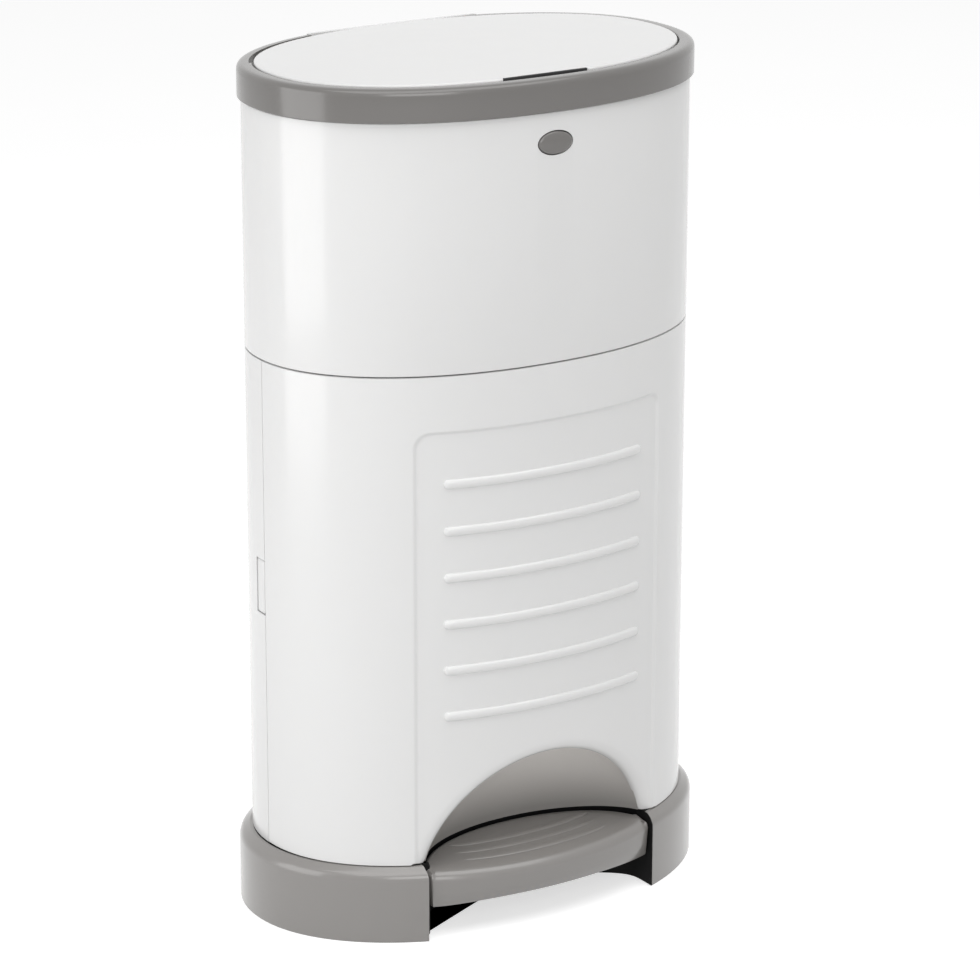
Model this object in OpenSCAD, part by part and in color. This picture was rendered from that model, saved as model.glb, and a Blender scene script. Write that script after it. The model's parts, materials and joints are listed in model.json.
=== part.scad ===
// Pedal bin for nappies. Units are millimetres. The origin is on the floor under the
// middle of the bin, +Z is up, the pedal faces -Y and +X is on the right seen from the front.

/* [Body] */
// Half width of the white body
body_a = 140; // [138:0.5:141]
// Half depth of the white body
body_b = 93.5; // [92.5:0.5:94.5]
// Wall thickness of the body shells
wall = 2.5; // [2:0.1:3]
// Height of the joint between the lower and the upper body
part_z = 345.6; // [343:0.1:348]
// Half width of the base
base_a = 149; // [147:0.5:151]
// Half depth of the base
base_b = 100.4; // [99:0.2:102]
// Height of the base
base_h = 46.3; // [45:0.1:47]

/* [Top] */
// Half width of the rim ring
rim_a = 141.5; // [141:0.1:142]
// Half depth of the rim ring
rim_b = 95.6; // [95:0.1:96]
// Height of the lower edge of the rim ring
rim_z = 493; // [492:0.5:493]
// Height of the flat top of the rim ring
rim_top = 512; // [511:0.5:512]
// Half width of the lid
lid_a = 131.6; // [130:0.2:132]
// Half depth of the lid
lid_b = 85.6; // [85:0.2:86]
// Height of the top of the lid
lid_top = 512.8; // [512.5:0.1:513.5]
// Half width of the hinge cover at the back of the lid
tab_x = 58; // [54:1:60]

/* [Lock and latch] */
// Height of the middle of the lock button
lock_z = 474.7; // [470:0.1:478]
// Width of the lock button
lock_w = 22.5; // [20:0.5:26]
// Height of the lock button
lock_h = 13.2; // [12:0.2:16]
// Lower end of the door latch
latch_z0 = 189.5; // [180:0.5:195]
// Upper end of the door latch
latch_z1 = 223.5; // [215:0.5:235]

/* [Door] */
// Radius of the toe arch in the door
arch_r = 83.5; // [80:0.5:85]
// Height of the centre of the toe arch
arch_z = 22.5; // [20:0.5:25]
// Height of the lowest rib
rib_z = 138.5; // [130:0.5:145]
// Spacing of the ribs
rib_pitch = 28.4; // [24:0.1:28.4]
// Number of ribs
rib_count = 6; // [3:1:6]
// Half width of the ribs
rib_x = 65.5; // [50:0.5:70]
// Height of one rib
rib_h = 5.6; // [4:0.2:7]
// Half width of the sunk panel
panel_x = 84; // [80:1:90]
// Height of the top of the sunk panel
panel_top = 311.5; // [300:0.5:320]

/* [Pedal] */
// Half width of the pedal
pedal_x = 77.4; // [72:0.2:77.6]
// Half width of the pedal opening
notch_x = 79; // [78:0.5:80]
// Height of the tread at the back
tread_z = 44.5; // [43:0.5:45]
// How much lower the tread is at the front
tread_drop = 7; // [3:0.5:8]
// Distance of the pedal pivot behind the middle, negative is in front
pivot_y = -20; // [-22:1:-18]
// Height of the pedal pivot
pivot_z = 27; // [26:0.5:28]

/* [Trap] */
// Half width of the trap flaps
flap_x = 74; // [70:1:74]
// Distance of the flap shafts from the middle
flap_y = 50; // [48:1:50]
// Height of the flap shafts
flap_z = 400; // [398:1:402]
// Lift of the push rod over the whole travel
lift = 19.8; // [18:0.1:19.8]

/* [Hidden] */

$fn = 64;
body_n = 2.15;          // roundness of the body outline
base_n = 2.07;          // roundness of the base outline
rim_n = 2.2;            // roundness of the rim outline
lid_n = 2.2;            // roundness of the lid outline
steps = 96;             // points round an outline
seam = 0.3;             // half of the gap at the door seam
gap = 0.6;              // visible gap between two shells
white = "whitesmoke";
grey = "#8e8b88";
dark = "#4a4a4a";
steel = "silver";

hinge_y = 86;           // lid hinge
hinge_z = 503;
tab_r = 9.8;            // radius of the hinge cover
sweep_r = 10.3;         // room that the hinge cover turns in
pin_r = 2;
flange_z = 505;         // underside of the funnel flange
flange_t = 2.5;
mouth_a = 112;          // funnel mouth
mouth_b = 63.5;
throat_z = 425;
crank_r = 15.4;         // flap cranks
crank_lo = 40;          // angle of a flap crank below the level, closed
lid_crank_r = 15.64;
lid_crank_lo = 50;
crank_pin = 1.6;
shaft_r = 3;
door_x = 136.5;         // door hinge
door_y = -3.6;
door_pin_r = 1.5;
scoop_y = -88;          // plane of the widest section of the toe niche
scoop_d = 49;           // depth of the toe niche
scoop_r = 83;
rod_y0 = 80;            // push rod
rod_y1 = 84;
rod_x = 12;
running = 0.05;         // radial play of a running fit
lid_room = 2.6;         // how far the rim gives way behind the lid
tread_y = -41;          // back and length of the tread's slope
tread_run = 56;
tread_t = 4;            // thickness of the tread
// steps of the tread's edge: inset in front, inset elsewhere, depth
tread_edge = [[0, 0, 5], [0.8, 0.3, 3], [2.3, 0.8, 1.2], [4.8, 1.6, 0]];
well_d = 50;            // depth of the well under the pedal
well_t = 1.8;
well_n = 4;

// Outline of half width a, half depth b and roundness n
function oval_points(a, b, n) = [for (i = [0 : steps - 1])
    let (t = 360 * i / steps, c = cos(t), s = sin(t))
    [sign(c) * a * pow(abs(c), 2 / n), sign(s) * b * pow(abs(s), 2 / n)]];

// Distance from the middle plane to the outline at x
function oval_y(x, a, b, n) = b * pow(1 - pow(abs(x) / a, n), 1 / n);

module oval(a, b, n) { polygon(oval_points(a, b, n)); }

// Solid oval from z0 to z1, inset from the body outline
module oval_solid(z0, z1, a, b, n) {
    translate([0, 0, z0]) linear_extrude(z1 - z0) oval(a, b, n);
}

module body_solid(z0, z1, inset = 0) { oval_solid(z0, z1, body_a - inset, body_b - inset, body_n); }

module body_ring(z0, z1, outset, thick) {
    difference() {
        body_solid(z0, z1, -outset);
        body_solid(z0 - 1, z1 + 1, thick - outset);
    }
}

// Box given by its two corners
module block(p, q) { translate(p) cube(q - p); }

// The same box on both sides of the middle
module block_pair(p, q) {
    block(p, q);
    mirror([1, 0, 0]) block(p, q);
}

// Cylinder along X
module rod_along_x(x0, x1, y, z, r) { translate([x0, y, z]) rotate([0, 90, 0]) cylinder(h = x1 - x0, r = r); }

// Cylinder along Y
module rod_along_y(y0, y1, x, z, r) { translate([x, y1, z]) rotate([90, 0, 0]) cylinder(h = y1 - y0, r = r); }

// Flat shape in the YZ plane, extruded along X
module along_x(x0, x1) {
    translate([x0, 0, 0]) rotate([90, 0, 90]) linear_extrude(x1 - x0) children();
}

// Elliptic plug along Y, for the lock button and its opening
module button_plug(y0, y1, w, h) {
    translate([0, y1, lock_z]) rotate([90, 0, 0]) linear_extrude(y1 - y0)
        polygon([for (i = [0 : 47]) [w / 2 * cos(7.5 * i), h / 2 * sin(7.5 * i)]]);
}

// Plan of the toe niche, grown by g, as far forward as y1
module scoop_plan(g, y1) {
    half = notch_x - 1.5 + g;
    polygon(concat([[half, y1], [-half, y1]], [for (i = [0 : 32])
        let (x = -half + 2 * half * i / 32)
        [x, scoop_y + (scoop_d + g) * sqrt(1 - pow(x / (scoop_r + g), 2))]]));
}

// Quarter round body of the niche, grown by g
module scoop_solid(g) {
    translate([0, scoop_y, arch_z]) rotate([-90, 0, 0]) {
        rotate_extrude() polygon(concat([[0, 0]], [for (i = [0 : 24])
            [(scoop_r + g) * cos(90 * i / 24), (scoop_d + g) * sin(90 * i / 24)]]));
        translate([0, 0, -20]) cylinder(h = 20.01, r = scoop_r + g);
    }
}

// Room that the hinge cover turns in
module hinge_room() {
    rod_along_x(-tab_x - 0.7, tab_x + 0.7, hinge_y, hinge_z, sweep_r);
    block([-tab_x - 0.7, hinge_y - sweep_r, hinge_z], [tab_x + 0.7, 120, 530]);
}

// ---- base ----

module base() {
    color(grey) difference() {
        union() {
            oval_solid(0, 38, base_a, base_b, base_n);
            oval_solid(38, 41, base_a - 0.6, base_b - 0.6, base_n);
            oval_solid(41, 43.5, base_a - 2, base_b - 2, base_n);
            oval_solid(43.5, 45.3, base_a - 3.8, base_b - 3.8, base_n);
            oval_solid(45.3, base_h, base_a - 5.6, base_b - 5.6, base_n);
        }
        // hollow under the deck
        oval_solid(-1, 41, base_a - 3.2, base_b - 3.2, base_n);
        oval_solid(40, 43.3, base_a - 6, base_b - 6, base_n);
        // pedal opening
        block([-notch_x, -120, -1], [notch_x, -70, 60]);
        translate([0, 0, 30]) linear_extrude(30) scoop_plan(1, -80);
        // slot for the pedal lever and the push rod
        block([-16, 44, 30], [16, 89, 60]);
        // lower door pin
        translate([door_x, door_y, 30]) cylinder(h = 30, r = door_pin_r);
    }
}

// Outline of the well under the pedal, grown by g and open to the front
module well_plan(g) {
    half = notch_x + g;
    polygon(concat([[half, -100], [-half, -100]], [for (i = [0 : steps])
        let (t = 180 - 180 * i / steps)
        [half * sign(cos(t)) * pow(abs(cos(t)), 2 / well_n),
            scoop_y + (well_d + g) * pow(sin(t), 2 / well_n)]]));
}

// Dark wall round the space that the pedal moves in
module foot_well() {
    color(dark) difference() {
        intersection() {
            translate([0, 0, 0.4]) linear_extrude(42.9) difference() {
                well_plan(well_t);
                well_plan(0);
            }
            union() {
                oval_solid(0, 41, base_a - 3.2, base_b - 3.2, base_n);
                oval_solid(40, 44, base_a - 6, base_b - 6, base_n);
            }
        }
        // window of the pedal lever
        block([-34, -60, 14], [34, -20, 40]);
    }
}

module base_plate() {
    color(dark) {
        difference() {
            oval_solid(1, 3.5, base_a - 3.4, base_b - 3.4, base_n);
            translate([0, 0, -1]) linear_extrude(10) union() {
                well_plan(well_t + 0.1);
                translate([-notch_x - 2, -120]) square([2 * notch_x + 4, 30]);
            }
            for (p = screw_places()) translate([p.x, p.y, -1]) cylinder(h = 10, r = 2.1);
        }
        for (s = [-1, 1]) difference() {
            block([s * 42 - 4, pivot_y - 8, 3.5], [s * 42 + 4, pivot_y + 8, pivot_z + 7]);
            rod_along_x(s * 42 - 9, s * 42 + 9, pivot_y, pivot_z, 3);
        }
    }
}

function screw_places() = [for (x = [-100, 100], y = [-30, 45]) [x, y]];

module rubber_feet() {
    color(dark) for (x = [-122, 122], y = [-22, 22])
        translate([x, y, 0]) cylinder(h = 1, r = 9);
    color(dark) for (x = [-60, 60])
        translate([x, 72, 0]) cylinder(h = 1, r = 9);
}

module base_screws() {
    color(steel) for (p = screw_places()) translate([p.x, p.y, 0.5]) {
        cylinder(h = 0.5, r = 4);
        translate([0, 0, 0.5]) cylinder(h = 16, r = 2);
    }
}

module toe_niche() {
    color(grey) intersection() {
        difference() {
            scoop_solid(2.5);
            scoop_solid(0);
        }
        // the edge stays behind the lip of the door
        body_solid(base_h, 130, wall + 2.4);
    }
}

// ---- body shells ----

module rear_shell() {
    color(white) difference() {
        body_ring(base_h, part_z - gap, 0, wall);
        block([-200, -200, 0], [200, seam, 400]);
        // window of the door latch
        block([-150, -1, latch_z0], [-130, 11, latch_z1]);
        // room for the door's hinge barrel
        translate([door_x, door_y, 0]) cylinder(h = 400, r = 3.9);
    }
}

module rod_cover() {
    color(white) intersection() {
        difference() {
            union() {
                block([-20, 40, base_h], [20, 92, 57]);
                block([-17.6, 76, 50], [17.6, 92, part_z - 2]);
            }
            block([-18, 42, 40], [18, 100, 55]);
            block([-15.6, 78, 40], [15.6, 100, 400]);
        }
        body_solid(base_h, part_z, wall + 0.1);
    }
}

module upper_shell() {
    color(white) difference() {
        union() {
            body_ring(part_z + 0.3, rim_z - gap, 0, wall);
            body_ring(rim_z - 3, flange_z, -2.2, 2.2);
            // ledge that holds the divider and the upper door pin
            body_ring(part_z + 0.3, part_z + 3.3, -1, 8);
        }
        button_plug(-120, -60, lock_w + 0.9, lock_h + 0.9);
        hinge_room();
        translate([door_x, door_y, 330]) cylinder(h = 40, r = door_pin_r);
    }
}

module divider() {
    color(white) difference() {
        body_solid(part_z + 3.3, part_z + 5.8, wall + 0.2);
        oval_solid(300, 400, 96, 66, 4);
        block([-16, 77, 300], [16, 87, 400]);
        translate([door_x, door_y, 330]) cylinder(h = 40, r = 3);
    }
}

// ---- rim, funnel and hinge ----

module rim_ring() {
    color(grey) difference() {
        union() {
            oval_solid(rim_z, rim_top - 3, rim_a, rim_b, rim_n);
            oval_solid(rim_top - 3, rim_top - 1.2, rim_a - 0.5, rim_b - 0.5, rim_n);
            oval_solid(rim_top - 1.2, rim_top, rim_a - 1.7, rim_b - 1.7, rim_n);
        }
        body_solid(rim_z - 1, rim_top - 3, 1.9);
        oval_solid(rim_z, rim_top + 1, lid_a + 0.8, lid_b + 0.8, lid_n);
        // the lid swings back over this part
        translate([0, lid_room, rim_top - 3.8]) linear_extrude(10) intersection() {
            oval(lid_a + 1.6, lid_b + 1.2, lid_n);
            translate([-200, 30]) square([400, 100]);
        }
        hinge_room();
    }
}

module funnel() {
    color(white) difference() {
        union() {
            body_solid(flange_z, flange_z + flange_t, 4.2);
            hull() {
                oval_solid(flange_z - 1, flange_z, mouth_a + 2, mouth_b + 2, 2.4, $fn = 32);
                block([-flap_x - 2, -46.5, throat_z], [flap_x + 2, 46.5, throat_z + 1]);
            }
        }
        hull() {
            oval_solid(flange_z + flange_t, flange_z + 3, mouth_a, mouth_b, 2.4, $fn = 32);
            block([-flap_x, -44.5, throat_z - 1], [flap_x, 44.5, throat_z]);
        }
        // room for the hinge cover and the lid's crank
        block([-tab_x - 0.7, 72, 480], [tab_x + 0.7, 120, 530]);
        block([-16, 66, flange_z - 0.5], [10, 90, 530]);
        // room for the lock hook
        block([-9, -100, flange_z - 0.5], [9, -73, 530]);
    }
}

module flap_housing() {
    color(dark) {
        difference() {
            block([-flap_x - 2, -46.5, flap_z + 7], [flap_x + 2, 46.5, throat_z]);
            block([-flap_x, -44.5, 300], [flap_x, 44.5, 500]);
        }
        for (s = [-1, 1]) difference() {
            block([s * (flap_x + 3.5) - 1.5, -57, flap_z - 8], [s * (flap_x + 3.5) + 1.5, 57, throat_z]);
            for (y = [-flap_y, flap_y]) rod_along_x(-100, 100, y, flap_z, shaft_r + running);
        }
    }
}

module film_ring(z0, z1, inset) {
    difference() {
        oval_solid(z0, z1, 118 - inset, 76 - inset, 2.6);
        oval_solid(z0 - 1, z1 + 1, 92 + inset, 64 + inset, 4);
    }
}

module film_cassette() {
    color(grey) difference() {
        film_ring(part_z + 5.8, part_z + 27, 0);
        film_ring(part_z + 7.3, part_z + 30, 1.5);
    }
}

module film_pack() {
    color("lightblue") film_ring(part_z + 7.3, part_z + 24, 1.7);
}

module hinge_bracket() {
    color(grey) {
        block([-34, 84, 470], [34, 88.4, 484]);
        for (s = [-1, 1]) difference() {
            union() {
                rod_along_x(s * 23.5 - 3.5, s * 23.5 + 3.5, hinge_y, hinge_z, 5);
                along_x(s * 23.5 - 3.5, s * 23.5 + 3.5) polygon([[81.2, hinge_z], [83.8, hinge_z],
                    [83.8, 484], [84, 470], [76, 470], [76, 490]]);
            }
            rod_along_x(-60, 60, hinge_y, hinge_z, pin_r);
        }
    }
}

module lid_hinge_pin() { color(steel) rod_along_x(-30, 30, hinge_y, hinge_z, pin_r); }

// ---- lid ----

module lid() {
    color(white) difference() {
        union() {
            oval_solid(lid_top - 3, lid_top - 0.8, lid_a, lid_b, lid_n);
            oval_solid(lid_top - 0.8, lid_top, lid_a - 0.8, lid_b - 0.8, lid_n);
            // low dome
            for (k = [1 : 3]) oval_solid(lid_top - 1, lid_top + 0.75 * k,
                lid_a - 17 * k, lid_b - 17 * k, lid_n);
            // skirt under the edge
            difference() {
                oval_solid(508.6, lid_top - 3, lid_a - 0.3, lid_b - 0.3, lid_n);
                oval_solid(500, lid_top - 2.9, lid_a - 2.3, lid_b - 2.3, lid_n);
                block([-tab_x - 0.7, 66, 500], [tab_x + 0.7, 120, 530]);
            }
            // hinge cover
            intersection() {
                union() {
                    difference() {
                        rod_along_x(-tab_x, tab_x, hinge_y, hinge_z, tab_r);
                        rod_along_x(-200, 200, hinge_y, hinge_z, tab_r - 2.5);
                        block([-200, 0, 400], [200, hinge_y, 600]);
                        block([-200, 0, 400], [200, 200, hinge_z - 3]);
                    }
                    block([-tab_x, 70, lid_top - 2.5], [tab_x, hinge_y, lid_top]);
                }
                oval_solid(480, 530, rim_a, rim_b, rim_n);
            }
            // knuckles on the hinge pin
            for (s = [-1, 1]) {
                rod_along_x(s * 15.5 - 3.5, s * 15.5 + 3.5, hinge_y, hinge_z, 5);
                block([s * 15.5 - 3.5, 82.5, hinge_z], [s * 15.5 + 3.5, 89, lid_top - 2]);
            }
        }
        rod_along_x(-60, 60, hinge_y, hinge_z, pin_r + running);
        // finger slot at the front
        block([-29, -120, 500], [29, -81.8, 520]);
    }
}

module lid_liner() {
    color(white) difference() {
        oval_solid(503.5, lid_top - 3, 106, 58, 2.4);
        oval_solid(500, lid_top - 4.8, 104, 56, 2.4);
    }
}

module lid_seal() {
    color(dark) difference() {
        oval_solid(508.2, lid_top - 3, 119, 66.5, 2.4);
        oval_solid(500, 520, 115, 63.5, 2.4);
        block([-17, 60, 500], [11, 70, 520]);
    }
}

module lid_crank() {
    pin_y = hinge_y - lid_crank_r * cos(lid_crank_lo);
    pin_z = hinge_z - lid_crank_r * sin(lid_crank_lo);
    color(grey) difference() {
        union() {
            rod_along_x(-9, 1, hinge_y, hinge_z, 4.8);
            block([-9, 83, hinge_z], [-3, 89, lid_top - 3]);
            translate([-2, hinge_y, hinge_z]) rotate([lid_crank_lo, 0, 0])
                block([0, -lid_crank_r, -2.5], [3, 0, 2.5]);
            rod_along_x(-2, 1, pin_y, pin_z, 2.5);
            rod_along_x(1, 6, pin_y, pin_z, crank_pin);
        }
        rod_along_x(-60, 60, hinge_y, hinge_z, pin_r + running);
    }
}

module lid_catch() {
    color(grey) {
        block([-5, -79.5, 499], [5, -77.5, lid_top - 3]);
        block([-5, -81.6, 499], [5, -79.5, 501]);
    }
}

// ---- trap flaps; side is -1 in front and 1 at the back ----

module flap(side) {
    color(grey) mirror([0, side < 0 ? 1 : 0, 0]) difference() {
        union() {
            block([-flap_x, 0.8, flap_z - 1.3], [flap_x, flap_y, flap_z + 1.3]);
            rod_along_x(-flap_x, flap_x, flap_y, flap_z, 5);
        }
        rod_along_x(-100, 100, flap_y, flap_z, shaft_r);
    }
}

// Shaft with a crank at each end
module flap_shaft(side) {
    pin_y = flap_y + crank_r * cos(crank_lo);
    pin_z = flap_z - crank_r * sin(crank_lo);
    color(dark) mirror([0, side < 0 ? 1 : 0, 0]) {
        rod_along_x(-flap_x - 8, flap_x + 8, flap_y, flap_z, shaft_r);
        for (s = [-1, 1]) {
            x = s * (flap_x + 6.6);
            difference() {
                union() {
                    rod_along_x(x - 1.4, x + 1.4, flap_y, flap_z, 5);
                    translate([x, flap_y, flap_z]) rotate([-crank_lo, 0, 0])
                        block([-1.4, 0, -2.5], [1.4, crank_r, 2.5]);
                    rod_along_x(x - 1.4, x + 1.4, pin_y, pin_z, 2.5);
                }
                rod_along_x(-100, 100, flap_y, flap_z, shaft_r);
            }
            rod_along_x(min(s * (flap_x + 8), s * (flap_x + 13)), max(s * (flap_x + 8), s * (flap_x + 13)),
                pin_y, pin_z, crank_pin);
        }
    }
}

module flap_seal(side) {
    color("dimgray") mirror([0, side < 0 ? 1 : 0, 0])
        block([-flap_x + 1, 0.3, flap_z + 1.3], [flap_x - 1, 9, flap_z + 2.8]);
}

module flap_front() { flap(-1); }

module flap_front_shaft() { flap_shaft(-1); }

module flap_front_seal() { flap_seal(-1); }

module flap_rear() { flap(1); }

module flap_rear_shaft() { flap_shaft(1); }

module flap_rear_seal() { flap_seal(1); }

// ---- push rod and yoke ----

module push_rod() {
    color(dark) block([-rod_x, rod_y0, pivot_z + 4], [rod_x, rod_y1, flap_z - 24]);
}

module lift_yoke() {
    slot_z = flap_z - crank_r * sin(crank_lo);
    color(dark) {
        for (s = [-1, 1]) difference() {
            block([s * (flap_x + 11.5) - 1.5, -69.5, slot_z - 6.2], [s * (flap_x + 11.5) + 1.5, 70.5, slot_z + 5.4]);
            for (t = [-1, 1]) block([-100, t * 63.6 - 4, slot_z - 2.2], [100, t * 63.6 + 4, slot_z + 2.2]);
        }
        block([-flap_x - 13, 67.5, flap_z - 24], [flap_x + 13, 70.5, slot_z - 6.2]);
        block([-rod_x, 70.5, flap_z - 24], [rod_x, rod_y1, flap_z - 20]);
    }
}

module lid_link() {
    slot_z = hinge_z - lid_crank_r * sin(lid_crank_lo) - 0.4;
    color(dark) difference() {
        union() {
            block([2, 76.5, flap_z - 20], [5, rod_y1, slot_z]);
            block([2, 66.5, slot_z - 5], [5, rod_y1, slot_z + 4.6]);
            block([-rod_x, 76.5, flap_z - 20], [rod_x, rod_y1, flap_z - 17]);
        }
        block([0, 68, slot_z - 2.2], [8, 78.4, slot_z + 2.2]);
    }
}

// ---- pedal ----

// Plan of the pedal with its front edge moved back by f and all other edges by g
module pedal_plan(f, g) {
    half = pedal_x - g;
    polygon(concat(
        [for (i = [0 : 24]) let (x = -half + 2 * half * i / 24)
            [x, -oval_y(x, 146 - f, 97 - f, base_n)]],
        [for (i = [24 : -1 : 0]) let (x = -half + 2 * half * i / 24)
            [x, scoop_y + (scoop_d - 1.5 - g) * sqrt(1 - pow(x / (scoop_r - 1.5), 2))]]));
}

// Everything above the tread, lowered by d
module above_tread(d) {
    translate([0, tread_y, tread_z - d]) rotate([atan(tread_drop / tread_run), 0, 0])
        block([-200, -200, 0], [200, 200, 60]);
}

module pedal() {
    color(grey) difference() {
        for (e = tread_edge) difference() {
            translate([0, 0, 20]) linear_extrude(40) pedal_plan(e[0], e[1]);
            above_tread(e[2]);
        }
        // hollow below, open at the back
        difference() {
            translate([0, 0, 10]) linear_extrude(40) union() {
                pedal_plan(3.8, 3);
                translate([-pedal_x + 3, -80]) square([2 * pedal_x - 6, 100]);
            }
            above_tread(tread_t + 1.2);
        }
    }
}

module pedal_grip() {
    color("dimgray") difference() {
        translate([0, 0, 20]) linear_extrude(40) intersection() {
            for (k = [0 : 2]) difference() {
                oval(136 - 5 * k, 87 - 5 * k, base_n);
                oval(134.6 - 5 * k, 85.6 - 5 * k, base_n);
            }
            translate([-62, -100]) square([124, 60]);
        }
        above_tread(-0.6);
        difference() {
            block([-200, -200, 0], [200, 200, 60]);
            above_tread(0);
        }
    }
}

module pedal_lever() {
    color(dark) difference() {
        union() {
            block([-14, -60, pivot_z - 3], [14, 86, pivot_z + 3]);
            rod_along_x(-36, 36, pivot_y, pivot_z, 6.5);
            for (s = [-1, 1]) block([s * 30 - 2, -88, pivot_z - 5], [s * 30 + 2, pivot_y, tread_z]);
            for (s = [-1, 1]) block([s * 12 - 2, -90, pivot_z - 5], [s * 12 + 2, pivot_y, tread_z]);
        }
        rod_along_x(-100, 100, pivot_y, pivot_z, 3 + running);
        above_tread(tread_t + 1.2);
    }
}

module pedal_pin() { color(steel) rod_along_x(-50, 50, pivot_y, pivot_z, 3); }

module pedal_spring() {
    color(steel) for (s = [-1, 1]) difference() {
        rod_along_x(s * 48 - 1.8, s * 48 + 1.8, pivot_y, pivot_z, 5.5);
        rod_along_x(s * 48 - 9, s * 48 + 9, pivot_y, pivot_z, 3);
    }
}

// ---- door ----

module door() {
    color(white) difference() {
        union() {
            difference() {
                body_ring(base_h + 0.5, part_z - gap, 0, wall);
                block([-200, -seam / 3, 0], [200, 200, 400]);
                block([door_x, door_y, 0], [200, 200, 400]);
                // sunk panel
                intersection() {
                    difference() {
                        body_solid(0, 400, -5);
                        body_solid(0, 400, 0.5);
                    }
                    rotate([90, 0, 0]) linear_extrude(200) panel_outline();
                }
            }
            // hinge barrel
            translate([door_x, door_y, base_h + 0.5])
                cylinder(h = part_z - gap - base_h - 0.5, r = 3.5);
            for (k = [0 : rib_count - 1]) rib(rib_z + k * rib_pitch);
            // lip round the toe arch
            intersection() {
                rod_along_y(-120, -40, 0, arch_z, arch_r + 2.5);
                body_ring(base_h + 0.5, 140, -wall + 0.1, 2);
                block([-200, -200, 0], [200, -70, 400]);
            }
        }
        rod_along_y(-120, -20, 0, arch_z, arch_r);
        translate([door_x, door_y, 0]) {
            cylinder(h = base_h + 9, r = door_pin_r + running);
            translate([0, 0, part_z - 9]) cylinder(h = 20, r = door_pin_r + running);
        }
    }
}

// Outline of the sunk panel seen from the front
module panel_outline() {
    r = 9;
    difference() {
        union() {
            translate([-panel_x, base_h - 5]) square([2 * panel_x, panel_top - base_h + 5 - r]);
            translate([-panel_x + r, base_h]) square([2 * (panel_x - r), panel_top - base_h]);
            for (s = [-1, 1]) translate([s * (panel_x - r), panel_top - r]) circle(r);
        }
    }
}

// Raised rib with round ends that follows the door
module rib(z) {
    intersection() {
        body_ring(z - rib_h, z + rib_h, 1.2, 3);
        rotate([90, 0, 0]) linear_extrude(200) {
            translate([-rib_x, z - rib_h / 2]) square([2 * rib_x, rib_h]);
            for (s = [-1, 1]) translate([s * rib_x, z]) circle(rib_h / 2);
        }
    }
}

module door_hinge_pins() {
    color(steel) translate([door_x, door_y, 0]) {
        translate([0, 0, 43.4]) cylinder(h = base_h + 8 - 43.4, r = door_pin_r);
        translate([0, 0, part_z - 8]) cylinder(h = 11, r = door_pin_r);
    }
}

module door_catch() {
    color(grey) {
        block([-137, -8, 198], [-134.9, -5.5, 214]);
        intersection() {
            block([-139, -16, 196], [-135.2, -8, 216]);
            body_solid(190, 220, wall);
        }
    }
}

module cutter_holder() {
    color(grey) difference() {
        intersection() {
            block([-14, -91, 316], [14, -82, 332]);
            body_solid(300, 340, wall);
        }
        block([-16, -86, 323], [16, -80, 325]);
    }
}

module cutter_blade() { color(steel) block([-11, -86, 323.6], [11, -83.4, 324.4]); }

// ---- lock and latch ----

module lock_button() {
    color(grey) {
        button_plug(-93.8, -87, lock_w, lock_h);
        button_plug(-94.6, -93.8, lock_w - 3, lock_h - 3);
        rod_along_y(-87, -79, 0, lock_z, 3);
    }
}

module lock_hook() {
    color(grey) difference() {
        union() {
            block([-6, -87, lock_z + 6], [6, -85, 502]);
            block([-6, -87, lock_z - 6], [6, -86.6, lock_z + 6]);
        }
        rod_along_y(-90, -70, 0, lock_z, 3);
    }
}

module lock_guide() {
    color(dark) difference() {
        union() {
            block([-20, -82, lock_z - 8], [20, -79.4, lock_z + 8]);
            block_pair([18, -92, lock_z - 8], [20, -82, lock_z + 8]);
        }
        rod_along_y(-90, -70, 0, lock_z, 3 + running);
        difference() {
            body_solid(400, 500, -20);
            body_solid(390, 510, wall);
        }
    }
}

module lock_spring() {
    color(steel) difference() {
        rod_along_y(-86.6, -82, 0, lock_z, 5);
        rod_along_y(-90, -80, 0, lock_z, 3.8);
    }
}

module door_latch() {
    color(white) difference() {
        union() {
            intersection() {
                block([-150, 1.6, latch_z0 + 0.6], [-130, 10.4, latch_z1 - 0.6]);
                body_solid(100, 300, 0.2);
            }
            block([-134.5, -11, 198], [-132.5, 8, 214]);
            block([-134.6, -11, 198], [-133, -9, 214]);
        }
        block([-131, 0, 100], [-120, 20, 300]);
    }
}

module latch_guide() {
    color(dark) {
        block([-128, 2, 200], [-126, 10, 212]);
        for (z = [latch_z0 - 4, latch_z1 + 1.5]) intersection() {
            block([-140, 2, z], [-126, 10, z + 2.5]);
            body_solid(100, 300, wall);
        }
        block([-128, 2, latch_z0 - 4], [-126, 10, latch_z1 + 4]);
    }
}

module latch_spring() {
    color(steel) difference() {
        translate([-131, 6, 206]) rotate([0, 90, 0]) cylinder(h = 3, r = 3);
        translate([-132, 6, 206]) rotate([0, 90, 0]) cylinder(h = 5, r = 2);
    }
}

base();
base_plate();
rubber_feet();
base_screws();
foot_well();
toe_niche();
rear_shell();
rod_cover();
upper_shell();
divider();
rim_ring();
funnel();
flap_housing();
film_cassette();
film_pack();
hinge_bracket();
lid_hinge_pin();
lock_guide();
lock_spring();
latch_guide();
latch_spring();
pedal_pin();
pedal_spring();
door_hinge_pins();
lid();
lid_liner();
lid_seal();
lid_crank();
lid_catch();
flap_front();
flap_front_shaft();
flap_front_seal();
flap_rear();
flap_rear_shaft();
flap_rear_seal();
push_rod();
lift_yoke();
lid_link();
pedal();
pedal_lever();
pedal_grip();
door();
door_catch();
cutter_holder();
cutter_blade();
lock_button();
lock_hook();
door_latch();
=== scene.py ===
import json
import logging
import math
from dataclasses import dataclass
from enum import Enum
from typing import Callable, Iterable, Optional, Sequence

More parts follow.
